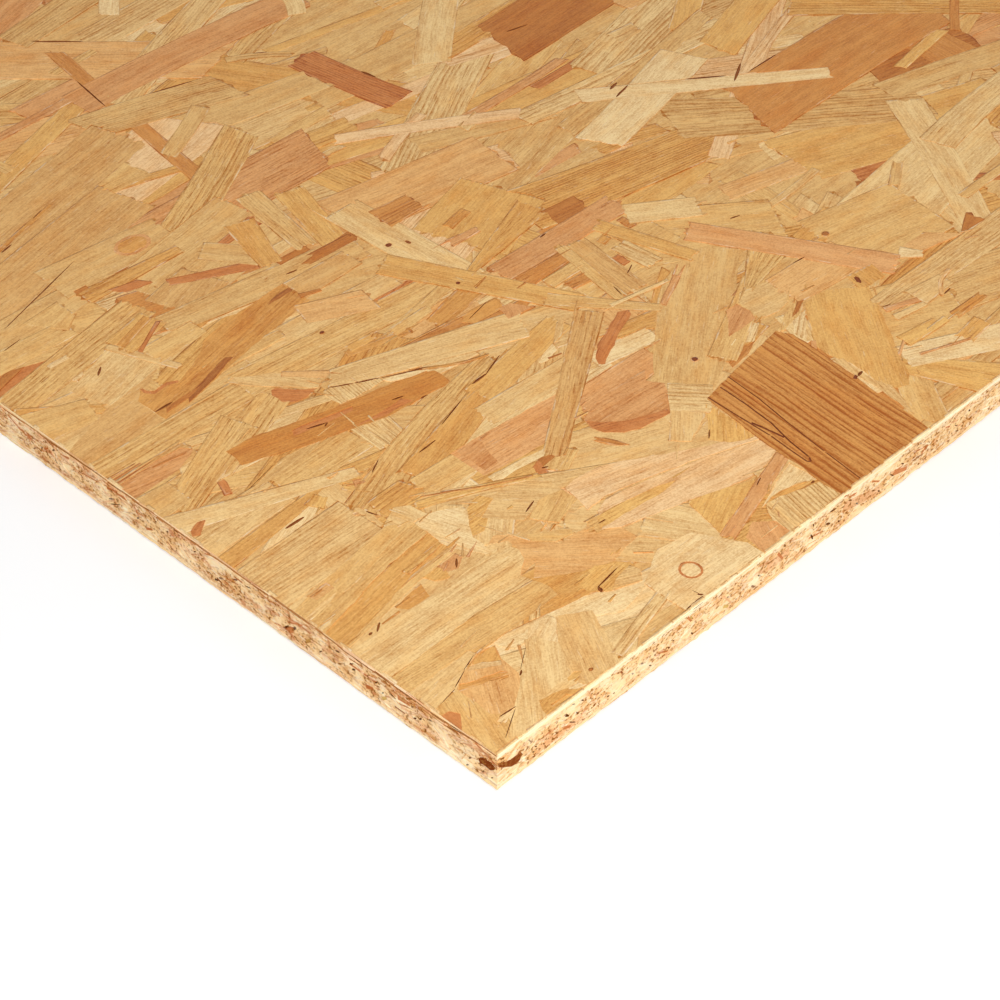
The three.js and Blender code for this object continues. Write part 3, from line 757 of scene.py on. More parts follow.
class Chip(Strand):
    """A torn piece of any outline, with its grain at a given angle."""

    def __init__(self, tone, angle, corners, grooves=0.15, look=""):
        self.corners = [Vector(c) for c in corners]
        if sum(a.cross(b) for a, b in zip(self.corners, self.corners[1:] + self.corners[:1])) < 0:
            self.corners.reverse()
        middle = sum(self.corners, Vector((0, 0))) / len(corners)
        axis = Vector((math.cos(math.radians(angle)), math.sin(math.radians(angle))))
        side = Vector((-axis.y, axis.x))
        half = max(abs((c - middle).dot(axis)) for c in self.corners)
        width = 2 * max(abs((c - middle).dot(side)) for c in self.corners)
        a, b = middle - axis * half, middle + axis * half
        super().__init__(tone, *a, *b, width, width, grooves=grooves, look=look)

    def outline(self, rng):
        points = []
        for a, b in zip(self.corners, self.corners[1:] + self.corners[:1]):
            count = max(1, round((b - a).length / 3.5))
            for k in range(count):
                sway = Vector((rng.uniform(-0.3, 0.3), rng.uniform(-0.3, 0.3)))
                points.append(a.lerp(b, k / count) + sway)
        return points


class Spot(Strand):
    """A round or lens-shaped mark: a crack, a pore, or a knot."""

    def __init__(self, tone, x0, y0, x1, y1, width, look="crack"):
        super().__init__(tone, x0, y0, x1, y1, width, width, look=look)

    def outline(self, rng):
        count = 16 if self.look == "knot" else 10 if self.length > 3 else 7
        uneven = (0.94, 1.03) if self.look == "knot" else (0.75, 1.1)
        points = []
        for i in range(count):
            turn = 2 * math.pi * i / count
            bulge = math.sin(turn) * rng.uniform(*uneven)
            points.append(self.point(0.5 - 0.5 * math.cos(turn), 0.5 - 0.5 * bulge))
        return points


def arris_fibres(rng):
    """Pale fibres that the saw tore up along the four arrises."""
    fibres = []
    corners = [Vector((sx * LENGTH / 2, sy * WIDTH / 2)) for sx, sy in ((-1, -1), (1, -1), (1, 1), (-1, 1))]
    for a, b in zip(corners, corners[1:] + corners[:1]):
        at, side = 0.0, (b - a).normalized()
        inward = Vector((-side.y, side.x))
        spacing = 1 if abs(side.x) > 0.5 else 3
        while at < (b - a).length:
            reach, width = rng.uniform(3, 14), rng.uniform(0.7, 2.2)
            start = a + side * at + inward * 0.2
            end = a + side * (at + reach) + inward * 0.2
            fibre = Strand("cream", *start, *end, width, width * rng.uniform(0.3, 1)).laid(0.2, rng)
            fibre.end_step = 1.0
            fibres.append(fibre)
            at += reach * rng.uniform(0.8, 1.5) * spacing
    return fibres


def ragged_rectangle(half_x, half_y, rng, step, chips):
    """The plan of a sawn face: straight sides with small chips torn out of them."""
    corners = [Vector((sx * half_x, sy * half_y)) for sx, sy in ((-1, -1), (1, -1), (1, 1), (-1, 1))]
    points = []
    for a, b in zip(corners, corners[1:] + corners[:1]):
        inward = Vector((-(b - a).y, (b - a).x)).normalized()
        count = max(1, round((b - a).length / step))
        points.append(a)
        for k in range(1, count):
            points.append(a.lerp(b, k / count) + inward * (chips * rng.random() ** 3))
    return points


def visible_regions(border, strands, rng):
    """Cuts the plane into the regions where one strand lies uppermost, as (strand, corners)."""
    points, loops, reaches = [], [], []
    for outline in [border] + [s.outline(rng) for s in strands]:
        loops.append(list(range(len(points), len(points) + len(outline))))
        points.extend(outline)
        xs, ys = [p.x for p in outline], [p.y for p in outline]
        reaches.append((min(xs), max(xs), min(ys), max(ys)))
    places, _, triangles, _, _, owners = delaunay_2d_cdt(points, [], loops, 1, 1e-4)
    plan = bmesh.new()
    corners = [plan.verts.new((p.x, p.y, 0)) for p in places]
    for triangle, owner in zip(triangles, owners):
        if 0 not in owner:
            continue
        x, y = sum((places[i] for i in triangle), Vector((0, 0))) / 3
        for top in sorted(owner, reverse=True):
            left, right, lower, upper = reaches[top]
            if left <= x <= right and lower <= y <= upper:
                break
        face = plan.faces.new([corners[i] for i in triangle])
        face.material_index = top
    bmesh.ops.dissolve_limit(plan, angle_limit=math.radians(0.5), use_dissolve_boundaries=False,
                             verts=plan.verts, edges=plan.edges, delimit={"MATERIAL"})
    plan.verts.index_update()
    regions = [(strands[f.material_index - 1], [v.index for v in f.verts]) for f in plan.faces]
    plan.verts.ensure_lookup_table()
    spots = [Vector((v.co.x, v.co.y)) for v in plan.verts]
    plan.free()
    return spots, regions


def level(strand):
    """A strand's depth, as a whole number of height steps."""
    return round(strand.depth / LEVEL)


def touching_corners(regions, levels_at):
    """Where raised strands touch only corner to corner, one side keeps a corner point of its
    own: for such a corner, the strands on that side and the level they rise from."""
    meeting = {}
    for strand, loop in regions:
        for before, i, after in zip(loop[-1:] + loop[:-1], loop, loop[1:] + loop[:1]):
            meeting.setdefault(i, {})[before] = (strand, after)
    apart = {}
    for i, around in meeting.items():
        first = before = next(iter(around))
        ring = []
        while before in around and len(ring) < len(around):
            strand, before = around[before]
            ring.append(strand)
        if before != first or len(levels_at[i]) < 2:
            continue
        for foot in sorted(levels_at[i]):
            raised = [level(strand) < foot for strand in ring]
            rises = [k for k in range(len(ring)) if raised[k] and not raised[k - 1]]
            if len(rises) == 2:
                apart[i] = [s for s, up in zip(ring[rises[0]:rises[1]], raised[rises[0]:]) if up], foot
    return apart


def map_colours(mesh, border, rows):
    """Lays the colour map out: the plan cut into rows, each with some spare length at its ends."""
    xs, ys = [p.x for p in border], [p.y for p in border]
    corner, reach = (min(xs), min(ys)), (max(xs) - min(xs), max(ys) - min(ys))
    plan = np.empty(2 * len(mesh.loops), dtype=np.float32)
    mesh.uv_layers["OFBake"].data.foreach_get("uv", plan)
    plan = (plan.reshape(-1, 3, 2) - corner) / reach
    row = np.clip(np.floor(plan[:, :, :1].mean(axis=1, keepdims=True) * rows), 0, rows - 1)
    spare, margin = (0, 0.003) if rows == 1 else (0.15, 0.03)
    plan[:, :, :1] = np.clip((plan[:, :, :1] * rows - row + spare) / (1 + 2 * spare), 0.003, 0.997)
    plan[:, :, 1:] = (row + margin + (1 - 2 * margin) * plan[:, :, 1:]) / rows
    mesh.uv_layers["OFBake"].data.foreach_set("uv", plan.ravel())


def pressed_skin(name, border, strands, rng, wood, place, back, rows=1, saw_tone=None, saw_share=(0, 0)):
    """A closed slab whose outer face is the pressed strands. place(x, y, depth) and back(x, y)
    give a point of the outer face and the point of the slab's back behind it, in millimetres.
    The colour map is cut into that many rows, so that a long narrow slab fills it well. The
    sides along the length and across it take on that share of the saw's tone."""
    spots, regions = visible_regions(border, strands, rng)
    levels_at = {}
    for strand, loop in regions:
        for i in loop:
            levels_at.setdefault(i, set()).add(level(strand))
    apart = touching_corners(regions, levels_at)
    skin = bmesh.new()
    grain, reach, bake = (skin.loops.layers.uv.new(layer) for layer in ("grain", "reach", "OFBake"))
    tone, look = (skin.loops.layers.float_color.new(layer) for layer in ("tone", "look"))
    made, origin, behind, known = {}, {}, {}, {}

    def plan_of(corner):
        return spots[origin[corner]] if corner in origin else behind[corner]

    def corner(i, n, strand):
        own = i in apart and n < apart[i][1] and any(strand is s for s in apart[i][0])
        if (i, n, own) not in made:
            p = spots[i]
            made[i, n, own] = skin.verts.new(Vector(place(p.x, p.y, n * LEVEL)) * MM)
            origin[made[i, n, own]] = i
        return made[i, n, own]

    def dress(face, strand):
        for loop in face.loops:
            p = plan_of(loop.vert)
            if (strand, p.x, p.y) not in known:
                known[strand, p.x, p.y] = strand.grain(p)
            loop[grain].uv = known[strand, p.x, p.y]
            loop[bake].uv = p
            loop[reach].uv = (strand.length / 2, strand.width / 2)
            loop[tone] = (*strand.tone, 1.0)
            loop[look] = (strand.seed, strand.grooves, strand.mark, 1.0)

    sides = {}
    for strand, loop in regions:
        dress(skin.faces.new([corner(i, level(strand), strand) for i in loop]), strand)
        for a, b in zip(loop, loop[1:] + loop[:1]):
            sides[a, b] = strand
    # the small upright steps between neighbours of different height
    for (a, b), strand in sides.items():
        other = sides.get((b, a))
        if other is None or level(other) <= level(strand):
            continue
        top, foot = level(strand), level(other)
        down_a = [(a, n) for n in sorted(levels_at[a]) if top < n < foot]
        down_b = [(b, n) for n in sorted(levels_at[b]) if top < n < foot]
        steps = [(b, top), (a, top), *down_a, (a, foot), (b, foot), *reversed(down_b)]
        riser = skin.faces.new([corner(i, n, strand) for i, n in steps])
        # walls down into a crack or void take its dark tone: painted shade on the sides of the gap
        dress(riser, other if other.look == "crack" else strand)
    # the sawn sides and the back
    rim = {}
    for edge in [e for e in skin.edges if e.is_boundary]:
        loop = edge.link_loops[0]
        a, b = loop.vert, loop.link_loop_next.vert
        for i in (origin[a], origin[b]):
            if i not in rim:
                rim[i] = skin.verts.new(Vector(back(spots[i].x, spots[i].y)) * MM)
                behind[rim[i]] = spots[i]
        ring = [b, a, rim[origin[a]]]
        if origin[a] != origin[b]:
            ring.append(rim[origin[b]])
        side = skin.faces.new(ring)
        share = saw_share[0 if abs(b.co.x - a.co.x) > abs(b.co.y - a.co.y) else 1]
        for side_loop, source in zip(side.loops, ring):
            like = loop if source in (a, rim[origin[a]]) else loop.link_loop_next
            side_loop[grain].uv, side_loop[reach].uv = like[grain].uv, like[reach].uv
            side_loop[bake].uv = plan_of(side_loop.vert)
            side_loop[tone], side_loop[look] = like[tone], like[look]
            if saw_tone:
                side_loop[tone] = [x + (y - x) * share for x, y in zip(like[tone], (*saw_tone, 1.0))]
    cap = bmesh.ops.holes_fill(skin, edges=[e for e in skin.edges if e.is_boundary], sides=0)["faces"]
    for loop in (loop for face in cap for loop in face.loops):
        loop[bake].uv = plan_of(loop.vert)
    bmesh.ops.triangulate(skin, faces=skin.faces[:])
    mesh = bpy.data.meshes.new(name)
    skin.to_mesh(mesh)
    skin.free()
    mesh.shade_flat()
    map_colours(mesh, border, rows)
    piece = bpy.data.objects.new(name, mesh)
    bpy.context.scene.collection.objects.link(piece)
    mesh.materials.append(wood)
    return piece


MARKS = {"": 0.0, "crack": 0.0, "streaked": 0.5, "grooved": 1.0}


def finish_strands(strands, rng, relief):
    """Lays strands from the lowest to the uppermost, with heights that vary a little."""
    for i, strand in enumerate(strands):
        share = i / max(1, len(strands) - 1)
        strand.laid(relief * min(max(1 - share + rng.uniform(-0.45, 0.45), 0), 1), rng, MARKS[strand.look])


def mixed(**shares):
    """A list of tones to draw from, each as often as its share says."""
    return [tone for tone, share in shares.items() for _ in range(share)]


MIXED_TONES = mixed(straw=7, tan=7, pale=5, olive=4, honey=4, amber=4, cream=3, rose=3, peach=3,
                    rosewood=3, copper=2, rust=1, brown=1)


def scattered_strand(rng):
    """One strand somewhere on a face, more often along the panel than not."""
    turn = rng.gauss(0, 0.3) if rng.random() < 0.78 else rng.uniform(-1.57, 1.57)
    length, width = rng.uniform(55, 150), rng.choice((6, 9, 12, 15, 18, 22, 26, 32, 40))
    if rng.random() < 0.3:
        length, width = rng.uniform(10, 45), rng.uniform(2, 12)
    x, y = rng.uniform(-LENGTH / 2, LENGTH / 2), rng.uniform(-WIDTH / 2, WIDTH / 2)
    dx, dy = math.cos(turn) * length / 2, math.sin(turn) * length / 2
    grooves = rng.choice((0.1, 0.15, 0.2, 0.3, 0.5, 0.8, 1.0))
    cut = rng.uniform(-0.35, 0.35) * width
    return Strand(rng.choice(MIXED_TONES), x - dx, y - dy, x + dx, y + dy,
                  width * rng.uniform(0.75, 1.0), width * rng.uniform(0.75, 1.0),
                  rng.uniform(-1.5, 1.5), grooves, cut, cut + rng.uniform(-2, 2),
                  rng.choice(("", "", "", "streaked")))


def splinters(strands, rng, count):
    """Thin slivers that lifted along the grain of the strands."""
    slivers = []
    for _ in range(count):
        parent = rng.choice([s for s in strands if s.look != "grooved" and s.tone[0] > 0.65])
        s, t = rng.choice((rng.uniform(0, 0.05), rng.uniform(0.95, 1))), rng.random()
        a = parent.point(s, t)
        b = a + parent.axis * rng.choice((-1, 1)) * rng.uniform(2, 10) + parent.side * rng.uniform(-0.6, 0.6)
        sliver = Strand("cream", *a, *b, rng.uniform(0.3, 1.3), rng.uniform(0.1, 0.5))
        shift = rng.uniform(0.88, 1.12)
        sliver.tone = tuple(min(c * shift, 1) for c in parent.tone)
        sliver.laid(max(parent.depth - 0.1, 0), rng)
        if not any(s.look == "grooved" and s.covers(p) for s in strands for p in (a, b)):
            slivers.append(sliver)
    return slivers


def face_strands(rng, count, cracks):
    """The scattered strands of a pressed face, their splinters, and the gaps beside some."""
    half_x = LENGTH / 2 + 5
    ground = Strand("tan", -half_x, 0, half_x, 0, WIDTH + 10, WIDTH + 10)
    strands = [ground] + [scattered_strand(rng) for _ in range(count)]
    finish_strands(strands, rng, FACE_RELIEF)
    strands += splinters(strands[count // 2:], rng, count // 4)
    gaps = []
    for _ in range(cracks):
        strand = rng.choice(strands[count // 2:count])
        s = rng.uniform(0.1, 0.6)
        a, b = strand.point(s, 1), strand.point(s + rng.uniform(6, 26) / max(strand.length, 30), 1)
        # a sunk gap beside the strand, painted dark brown, partly as painted shade
        gaps.append(Spot("crack", *a, *b, rng.uniform(0.7, 1.8)))
    return strands + [gap.laid(CRACK_DEPTH, rng) for gap in gaps]


TOP_STRANDS, TOP_CRACKS = 1150, 110
CORNER_REACH = 380     # no scattered crack lies this near to the laid-out corner
CORNER_RELIEF = 0.7 * FACE_RELIEF
CORNER_SPLINTERS = 200
KNOT_HEART = 0.78      # share of a knot inside its ring
RING_DEPTH, HEART_DEPTH, RESIN_DEPTH = 0.1, 0.05, 0.15

rng = random.Random(18)
strands = face_strands(rng, TOP_STRANDS, TOP_CRACKS)
near = Vector((-LENGTH / 2, -WIDTH / 2))
strands = [s for s in strands if not (isinstance(s, Spot) and (s.start - near).length < CORNER_REACH)]
corner = []
for tone, *shape in CORNER_STRANDS:
    if isinstance(shape[1], list):
        angle, corners, *rest = shape
        corner.append(Chip(tone, angle, [(near.x + x, near.y + y) for x, y in corners], *rest))
    else:
        x0, y0, x1, y1, *rest = shape
        corner.append(Strand(tone, near.x + x0, near.y + y0, near.x + x1, near.y + y1, *rest))
for strand in corner:
    strand.side_step, strand.end_step, strand.torn = 8.0, 1.3, 2.4
finish_strands(corner, rng, CORNER_RELIEF)
corner += splinters(corner[len(corner) // 4:], rng, CORNER_SPLINTERS)
for tone, heart, x, y, reach_x, reach_y in CORNER_KNOTS:
    for share, colour, depth in ((1.0, tone, RING_DEPTH), (KNOT_HEART, heart, HEART_DEPTH)):
        start, end = near.x + x - reach_x * share, near.x + x + reach_x * share
        knot = Spot(colour, start, near.y + y, end, near.y + y, 2 * reach_y * share, "knot")
        corner.append(knot.laid(depth, rng))
gaps = []
for x0, y0, x1, y1, width in CORNER_CRACKS:
    # each sunk gap is painted dark brown, partly as painted shade inside it
    gap = Spot("crack", near.x + x0, near.y + y0, near.x + x1, near.y + y1, 0.75 * width)
    gaps.append(gap.laid(CRACK_DEPTH, rng))
for width, *points in RESIN_LINES:
    for (x0, y0), (x1, y1) in zip(points, points[1:]):
        line = Strand("bark", near.x + x0, near.y + y0, near.x + x1, near.y + y1, width, width)
        gaps.append(line.laid(RESIN_DEPTH, rng))
border = ragged_rectangle(LENGTH / 2, WIDTH / 2, rng, ARRIS_STEP, ARRIS_CHIPS)
gaps += arris_fibres(rng)


def snapped(x, y):
    """A chipped border point put back on the panel's true outline."""
    if LENGTH / 2 - abs(x) < WIDTH / 2 - abs(y):
        return math.copysign(LENGTH / 2, x), y
    return x, math.copysign(WIDTH / 2, y)


SAWN_CREAM = tuple((c / 255) ** 2.2 for c in (248, 226, 182))
top = pressed_skin(
    "top_strands", border, strands + corner + gaps, rng, STRAND_WOOD,
    lambda x, y, depth: (x, y, THICKNESS - depth),
    lambda x, y: (*snapped(x, y), THICKNESS - SKIN),
    saw_tone=SAWN_CREAM, saw_share=(0.65, 0),
)
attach(top, "root")
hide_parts("osb_panel")

# ---------------------------------------------------------------------------
# The underside. The same pressed strands, laid down first in the mat, seen
# from below. Its plan runs along the panel and against its width.

LOWER_STRANDS, LOWER_CRACKS = 1100, 120
LOWER_ARRIS_STEP = 2.2
LOWER_ARRIS_CHIPS = 1.5  # the saw leaves the lower arrises rougher

rng = random.Random(27)
border = ragged_rectangle(LENGTH / 2, WIDTH / 2, rng, LOWER_ARRIS_STEP, LOWER_ARRIS_CHIPS)
underside = pressed_skin(
    "underside_strands", border, face_strands(rng, LOWER_STRANDS, LOWER_CRACKS), rng, STRAND_WOOD,
    lambda x, y, depth: (x, -y, depth),
    lambda x, y: (snapped(x, y)[0], -snapped(x, y)[1], SKIN),
    saw_tone=SAWN_CREAM, saw_share=(0.65, 0.8),
)
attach(underside, "root")
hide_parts("osb_panel")

# ---------------------------------------------------------------------------
# The four sawn edges. Between the skins the saw shows the strands end on or
# along their sides, stacked like thin wavy leaves, with voids where they did
# not close up, sunk half a millimetre and painted near black as painted shade.
# Each edge is a bar, mitred into its neighbours.

EDGE_DEPTH = 3.0   # how far the bars reach into the panel
EDGE_RELIEF = 0.2
FACE_LAYER = 4.0   # thickness of the layers whose strands lie along the panel
MARK_DEPTH, LIP_DEPTH, VOID_DEPTH, SPLIT_DEPTH = 0.1, 0.3, 0.5, 0.6

TONES.update({
    "sawn_cream": (254, 236, 202),
    "sawn_pale": (252, 229, 191),
    "sawn_peach": (250, 216, 166),
    "sawn_blush": (253, 219, 180),
    "sawn_pink": (240, 193, 150),
    "sawn_tan": (232, 186, 132),
    "sawn_olive": (210, 172, 104),
    "sawn_rust": (206, 132, 86),
    "sawn_brown": (150, 86, 48),
    "split": (194, 130, 78),
    # the near-black inside of the voids and of the splits' gaps: painted shade, much darker than the wood
    "shaded_void": (96, 50, 16),
})
# Tones of the face layers, by whether their strands lie along the edge and
# whether it is the upper one, and then those of the core.
FACE_LAYER_TONES = {
    (True, True): mixed(sawn_cream=5, sawn_pale=6, sawn_peach=1),
    (True, False): mixed(sawn_pale=3, sawn_peach=6, sawn_tan=1),
    (False, True): mixed(sawn_blush=4, sawn_pink=7, sawn_tan=4),
    (False, False): mixed(sawn_cream=8, sawn_blush=4, sawn_pink=1),
}
CORE_TONES = mixed(sawn_cream=3, sawn_pale=6, sawn_peach=7, sawn_pink=3, sawn_tan=2, sawn_rust=1)
SHORT_CORE_TONES = mixed(sawn_cream=7, sawn_pale=6, sawn_blush=10, sawn_pink=3, sawn_tan=1, sawn_rust=3)

# Marks on the near long edge and the near short edge: tone, then the ends as
# distance from the shared corner and height, and the width.
LONG_EDGE_MARKS = [
    ("sawn_pink", 20, 4.4, 42, 5, 3.2),
    ("sawn_rust", 32.5, 6, 36, 4.2, 1.5),
    ("sawn_pink", 140, 9, 152, 9, 4.5),
    ("sawn_rust", 145.6, 12, 148.6, 7.4, 1.2),
    ("sawn_pink", 184, 10, 206, 5, 5.0),
    ("sawn_rust", 186, 13.8, 190, 12.4, 0.9),
    ("sawn_rust", 200, 12.6, 205, 9.6, 0.9),
    ("sawn_rust", 213, 8.6, 222, 5.6, 2.6),
    ("sawn_rust", 95.6, 14.6, 98, 11, 1.1),
    ("sawn_olive", 97.4, 13.4, 98.6, 11.8, 1.0),
    ("sawn_olive", 115.8, 5.9, 118.6, 4.2, 1.6),
    ("sawn_brown", 10.4, 10.6, 12, 8, 1.4),
    ("sawn_brown", 61, 12.6, 62, 11, 0.8),
]
LONG_EDGE_VOIDS = [
    (15.2, 13.2, 17, 10.4, 0.6), (32.8, 12, 35.2, 9.8, 1.2), (38.6, 9.2, 40, 7.2, 0.8),
    (35, 7, 38.6, 4.3, 0.6), (17.2, 5.8, 18.2, 5, 0.7), (17, 3.6, 18.2, 2.8, 0.7),
    (18.2, 7.8, 19.4, 6.6, 0.6), (22.2, 6.4, 23.2, 5, 0.6), (28.4, 6.6, 30, 5.8, 0.8),
    (41, 13.4, 42.6, 11.8, 0.6), (36.6, 14.4, 38, 13.4, 0.6), (54.2, 5.2, 55.6, 4.6, 0.9),
    (57.4, 4.6, 58.4, 4, 0.7), (67, 7.4, 68, 6.2, 0.9), (71.6, 8.8, 73, 8, 1.0),
    (78.4, 8.2, 79.6, 7.2, 0.9), (85.8, 6.6, 87, 5.6, 0.9), (76, 4.8, 77.4, 3.8, 0.6),
    (88, 8.4, 89.2, 7.6, 0.6), (98.2, 5.2, 99.4, 3.8, 0.8), (117.4, 9.4, 118.8, 8.6, 0.8),
    (130.8, 6, 133.6, 3.7, 0.9), (134.4, 8.6, 136.4, 7.2, 0.8), (148.4, 14.4, 149.8, 13.2, 0.8),
    (165.2, 13.8, 166, 12, 1.0), (164.4, 9, 166.2, 5.6, 1.0), (173.2, 8.6, 176.2, 6.8, 1.1),
    (175, 13.2, 179, 12.6, 1.0), (180.8, 5.4, 182, 3.8, 0.8), (186, 12.2, 188.4, 10.6, 0.6),
    (191, 7.6, 192.8, 6, 0.8), (200.6, 7.6, 202.8, 6.6, 0.6), (204.6, 5.2, 206, 4, 0.8),
    (211.4, 9.2, 214, 6.6, 0.6), (218, 10.4, 220, 9, 0.7), (227.6, 7.4, 229.8, 6.6, 0.7),
    (229, 13.8, 230.2, 12.8, 0.7), (251.6, 9, 253.6, 7.8, 0.6), (260, 11.8, 261.2, 10.4, 0.9),
    (252.4, 5.6, 255, 4.4, 0.6), (265, 7.8, 266.2, 7, 0.6), (98.4, 16.1, 104, 16.2, 0.5),
]
SHORT_EDGE_MARKS = [
    ("sawn_pink", 41, 8.2, 46, 7.2, 1.3),
    ("sawn_rust", 41.6, 11.6, 47.4, 11.2, 2.4),
    ("sawn_tan", 43, 11.6, 46, 11.4, 1.0),
    ("sawn_brown", 99.4, 8.6, 102.6, 6.6, 1.0),
    ("sawn_brown", 103, 6.4, 104.4, 4.8, 0.9),
    ("sawn_brown", 138, 4.8, 140.8, 5.8, 0.9),
    ("sawn_brown", 129.6, 12, 131.6, 11.2, 0.6),
    ("sawn_brown", 44, 5.4, 49, 5.3, 0.7),
    ("sawn_olive", 53, 6.6, 55.2, 4.8, 1.6),
    ("sawn_rust", 59.6, 6.4, 63.4, 5, 2.0),
    ("sawn_pink", 80, 9.8, 85.4, 8.8, 2.2),
    ("sawn_olive", 91.2, 8.4, 93.6, 6, 1.4),
    ("sawn_rust", 95, 13, 103, 9.2, 0.8),
    ("sawn_rust", 100.4, 8, 103, 4.8, 2.3),
    ("sawn_pink", 117.4, 7.2, 121, 5, 1.9),
    ("sawn_rust", 176.6, 7, 180.4, 5.2, 1.2),
    ("sawn_rust", 129, 10.2, 135.6, 9.2, 0.7),
    ("sawn_rust", 196, 13.6, 202, 12, 1.2),
    ("sawn_pink", 217.6, 10.8, 221.4, 8.8, 1.4),
    ("sawn_rust", 236.8, 10.8, 239.6, 8.8, 1.0),
]
# A piece of bark that the mat took in at the near corner, cut on both edges.
BARK_ON_LONG_EDGE = [
    (0.5, 12.2), (2.2, 12.4), (4.6, 10.9), (7, 10.3), (10, 9.9), (11.6, 8.6), (11.2, 6.8), (9.4, 6.2),
    (7, 6.5), (4.6, 7.8), (2.6, 9.6), (0.7, 11.4),
]
BARK_ON_SHORT_EDGE = [
    (0.7, 10.4), (1.5, 8.7), (3.6, 7.5), (6, 7.7), (8.2, 7.6), (9.1, 8.9), (7.8, 10.9), (5.6, 11.9),
    (4.6, 11.3), (2.4, 11.5),
]
SHORT_EDGE_VOIDS = [
    (30.6, 11.4, 32.6, 10.8, 1.1), (76, 12.9, 78.4, 12, 1.2), (35.8, 9, 37, 7.4, 0.9),
    (38.4, 7.2, 39.8, 6, 0.9), (48, 9.4, 51.6, 10, 0.8), (39.4, 12, 40.8, 10.8, 0.6),
    (57.2, 11.4, 58.6, 9.8, 0.6), (68.4, 9.6, 70.2, 8.4, 0.9), (69.2, 11.8, 71, 10.8, 0.7),
    (54.4, 8.4, 55.2, 7.2, 0.6), (12.2, 7.2, 13.4, 5.8, 0.7), (6.2, 5.2, 7.2, 3.8, 0.7),
    (13.4, 2.8, 14.6, 1.8, 0.7), (2, 5, 3, 4, 0.6), (85.4, 7, 87, 5.2, 0.6), (98.6, 9.6, 100, 7.6, 1.3),
    (102.6, 7.6, 105.4, 4.8, 0.7), (122, 12.9, 125, 12.3, 0.6), (129, 12.5, 131, 11.8, 0.7),
    (137, 8, 140, 6.4, 1.0), (140, 5.2, 142.4, 4.3, 1.0), (151.8, 11.8, 153, 11.2, 0.6),
    (167, 12, 168.2, 11, 0.9), (184, 8.4, 185.4, 7, 0.9), (194.6, 8, 201, 4.6, 0.5),
    (198.4, 8.6, 201.6, 6.8, 0.8), (173.4, 12.8, 174.8, 12, 0.6), (232.4, 12.6, 234.4, 11, 0.9),
    (240.4, 9, 242, 7.8, 0.9), (244.6, 6.4, 247, 4.6, 0.6),
]
# Where the face layer has parted from the core along the near short edge.
SPLIT_LINES = [
    (-1, 16.7, 30, 15.1, 0.25), (26, 15.1, 76, 14.9, 0.25), (74, 15.1, 130, 15.9, 0.25),
    (126, 15.9, 190, 15.4, 0.25), (186, 15.5, 262, 15.1, 0.25), (258, 15.1, 330, 15.6, 0.3),
    (1, 16.2, 8, 16.4, 0.8), (23, 15.0, 35, 15.2, 0.6), (109, 16.2, 116, 15.5, 0.6),
    (126, 15.4, 144, 15.2, 0.6), (227, 15.2, 233, 14.8, 0.8), (7, 16.4, 15.4, 15.6, 0.7),
    (14.6, 15.9, 22, 14.4, 0.9), (19.4, 14.2, 24, 13.6, 1.3), (24, 15.4, 30.4, 14.8, 0.8),
    (26, 14.6, 30, 14.6, 0.6), (34, 15.2, 50, 15.1, 0.7), (36, 16.6, 42, 16.5, 0.4),
    (40, 14.6, 47, 14.9, 0.5), (50, 16, 57, 15.9, 0.7), (56, 15.6, 59, 15.3, 0.6),
    (60, 14.8, 74, 14.8, 0.7), (66, 13.4, 70, 13, 0.6), (76, 15.6, 87, 15.8, 0.8),
    (86, 16.5, 93, 16.2, 0.5), (92.6, 16.2, 99.6, 16.5, 1.2), (99, 16.4, 104, 16.2, 0.5),
    (103, 16.5, 110, 16.5, 0.8), (114, 15.3, 119.6, 15.3, 0.8), (116, 16.8, 128, 16.7, 0.4),
    (119, 15.2, 127, 15.4, 0.5), (143, 15.2, 152, 15.4, 0.5), (151, 16, 155.4, 15.6, 0.9),
    (154, 15, 172, 15.2, 0.5), (171, 14.6, 178, 15, 0.4), (176, 16.2, 180, 15.4, 0.9),
    (179, 15.3, 186, 15, 0.6), (184, 15.9, 192, 15.7, 0.9), (190, 15.6, 200, 15.3, 1.4),
    (203, 15.8, 214, 15.7, 1.2), (213, 15.5, 228, 15.2, 1.5), (232, 14.6, 240, 15, 0.8),
    (240, 15.4, 250, 15.4, 0.6), (252, 14.8, 262, 14.8, 0.4),
]


def sawn_flakes(rng, half, count, along_face):
    """Leaves of strand, seen where the saw cut them. In the face layers they are long where
    the strands lie along this edge. The core is a jumble of short ones."""
    flakes = []
    for _ in range(count):
        z = rng.uniform(0, THICKNESS)
        if min(z, THICKNESS - z) < FACE_LAYER * rng.uniform(0.6, 1.2):
            length = rng.uniform(24, 80) if along_face else rng.uniform(8, 36)
            tilt = rng.gauss(0, 0.02)
            if rng.random() < 0.3:
                length = rng.uniform(3, 12)
            tone = rng.choice(FACE_LAYER_TONES[along_face, z > THICKNESS / 2])
            thick = rng.uniform(0.5, 1.1)
        else:
            length, tilt = rng.triangular(1.5, 16, 3.5), rng.gauss(0, 0.4)
            tone = rng.choice(CORE_TONES if along_face else SHORT_CORE_TONES)
            thick = rng.uniform(0.5, 1.6)
        s, ds, dz = rng.uniform(-half, half), length / 2 * math.cos(tilt), length / 2 * math.sin(tilt)
        leaf = Strand(tone, s - ds, z - dz, s + ds, z + dz,
                      thick * rng.uniform(0.3, 1), thick * rng.uniform(0.3, 1),
                      rng.gauss(0, 0.012) * length, rng.choice((0.2, 0.5, 0.9)),
                      rng.uniform(-1, 1), rng.uniform(-1, 1))
        leaf.side_step, leaf.end_step, leaf.torn = 6.0, 2.0, 0.6
        leaf.grooves = 0.25 if along_face else 0.85  # in place of the drawn ones
        flakes.append(leaf)
    finish_strands(flakes, rng, EDGE_RELIEF)
    return flakes


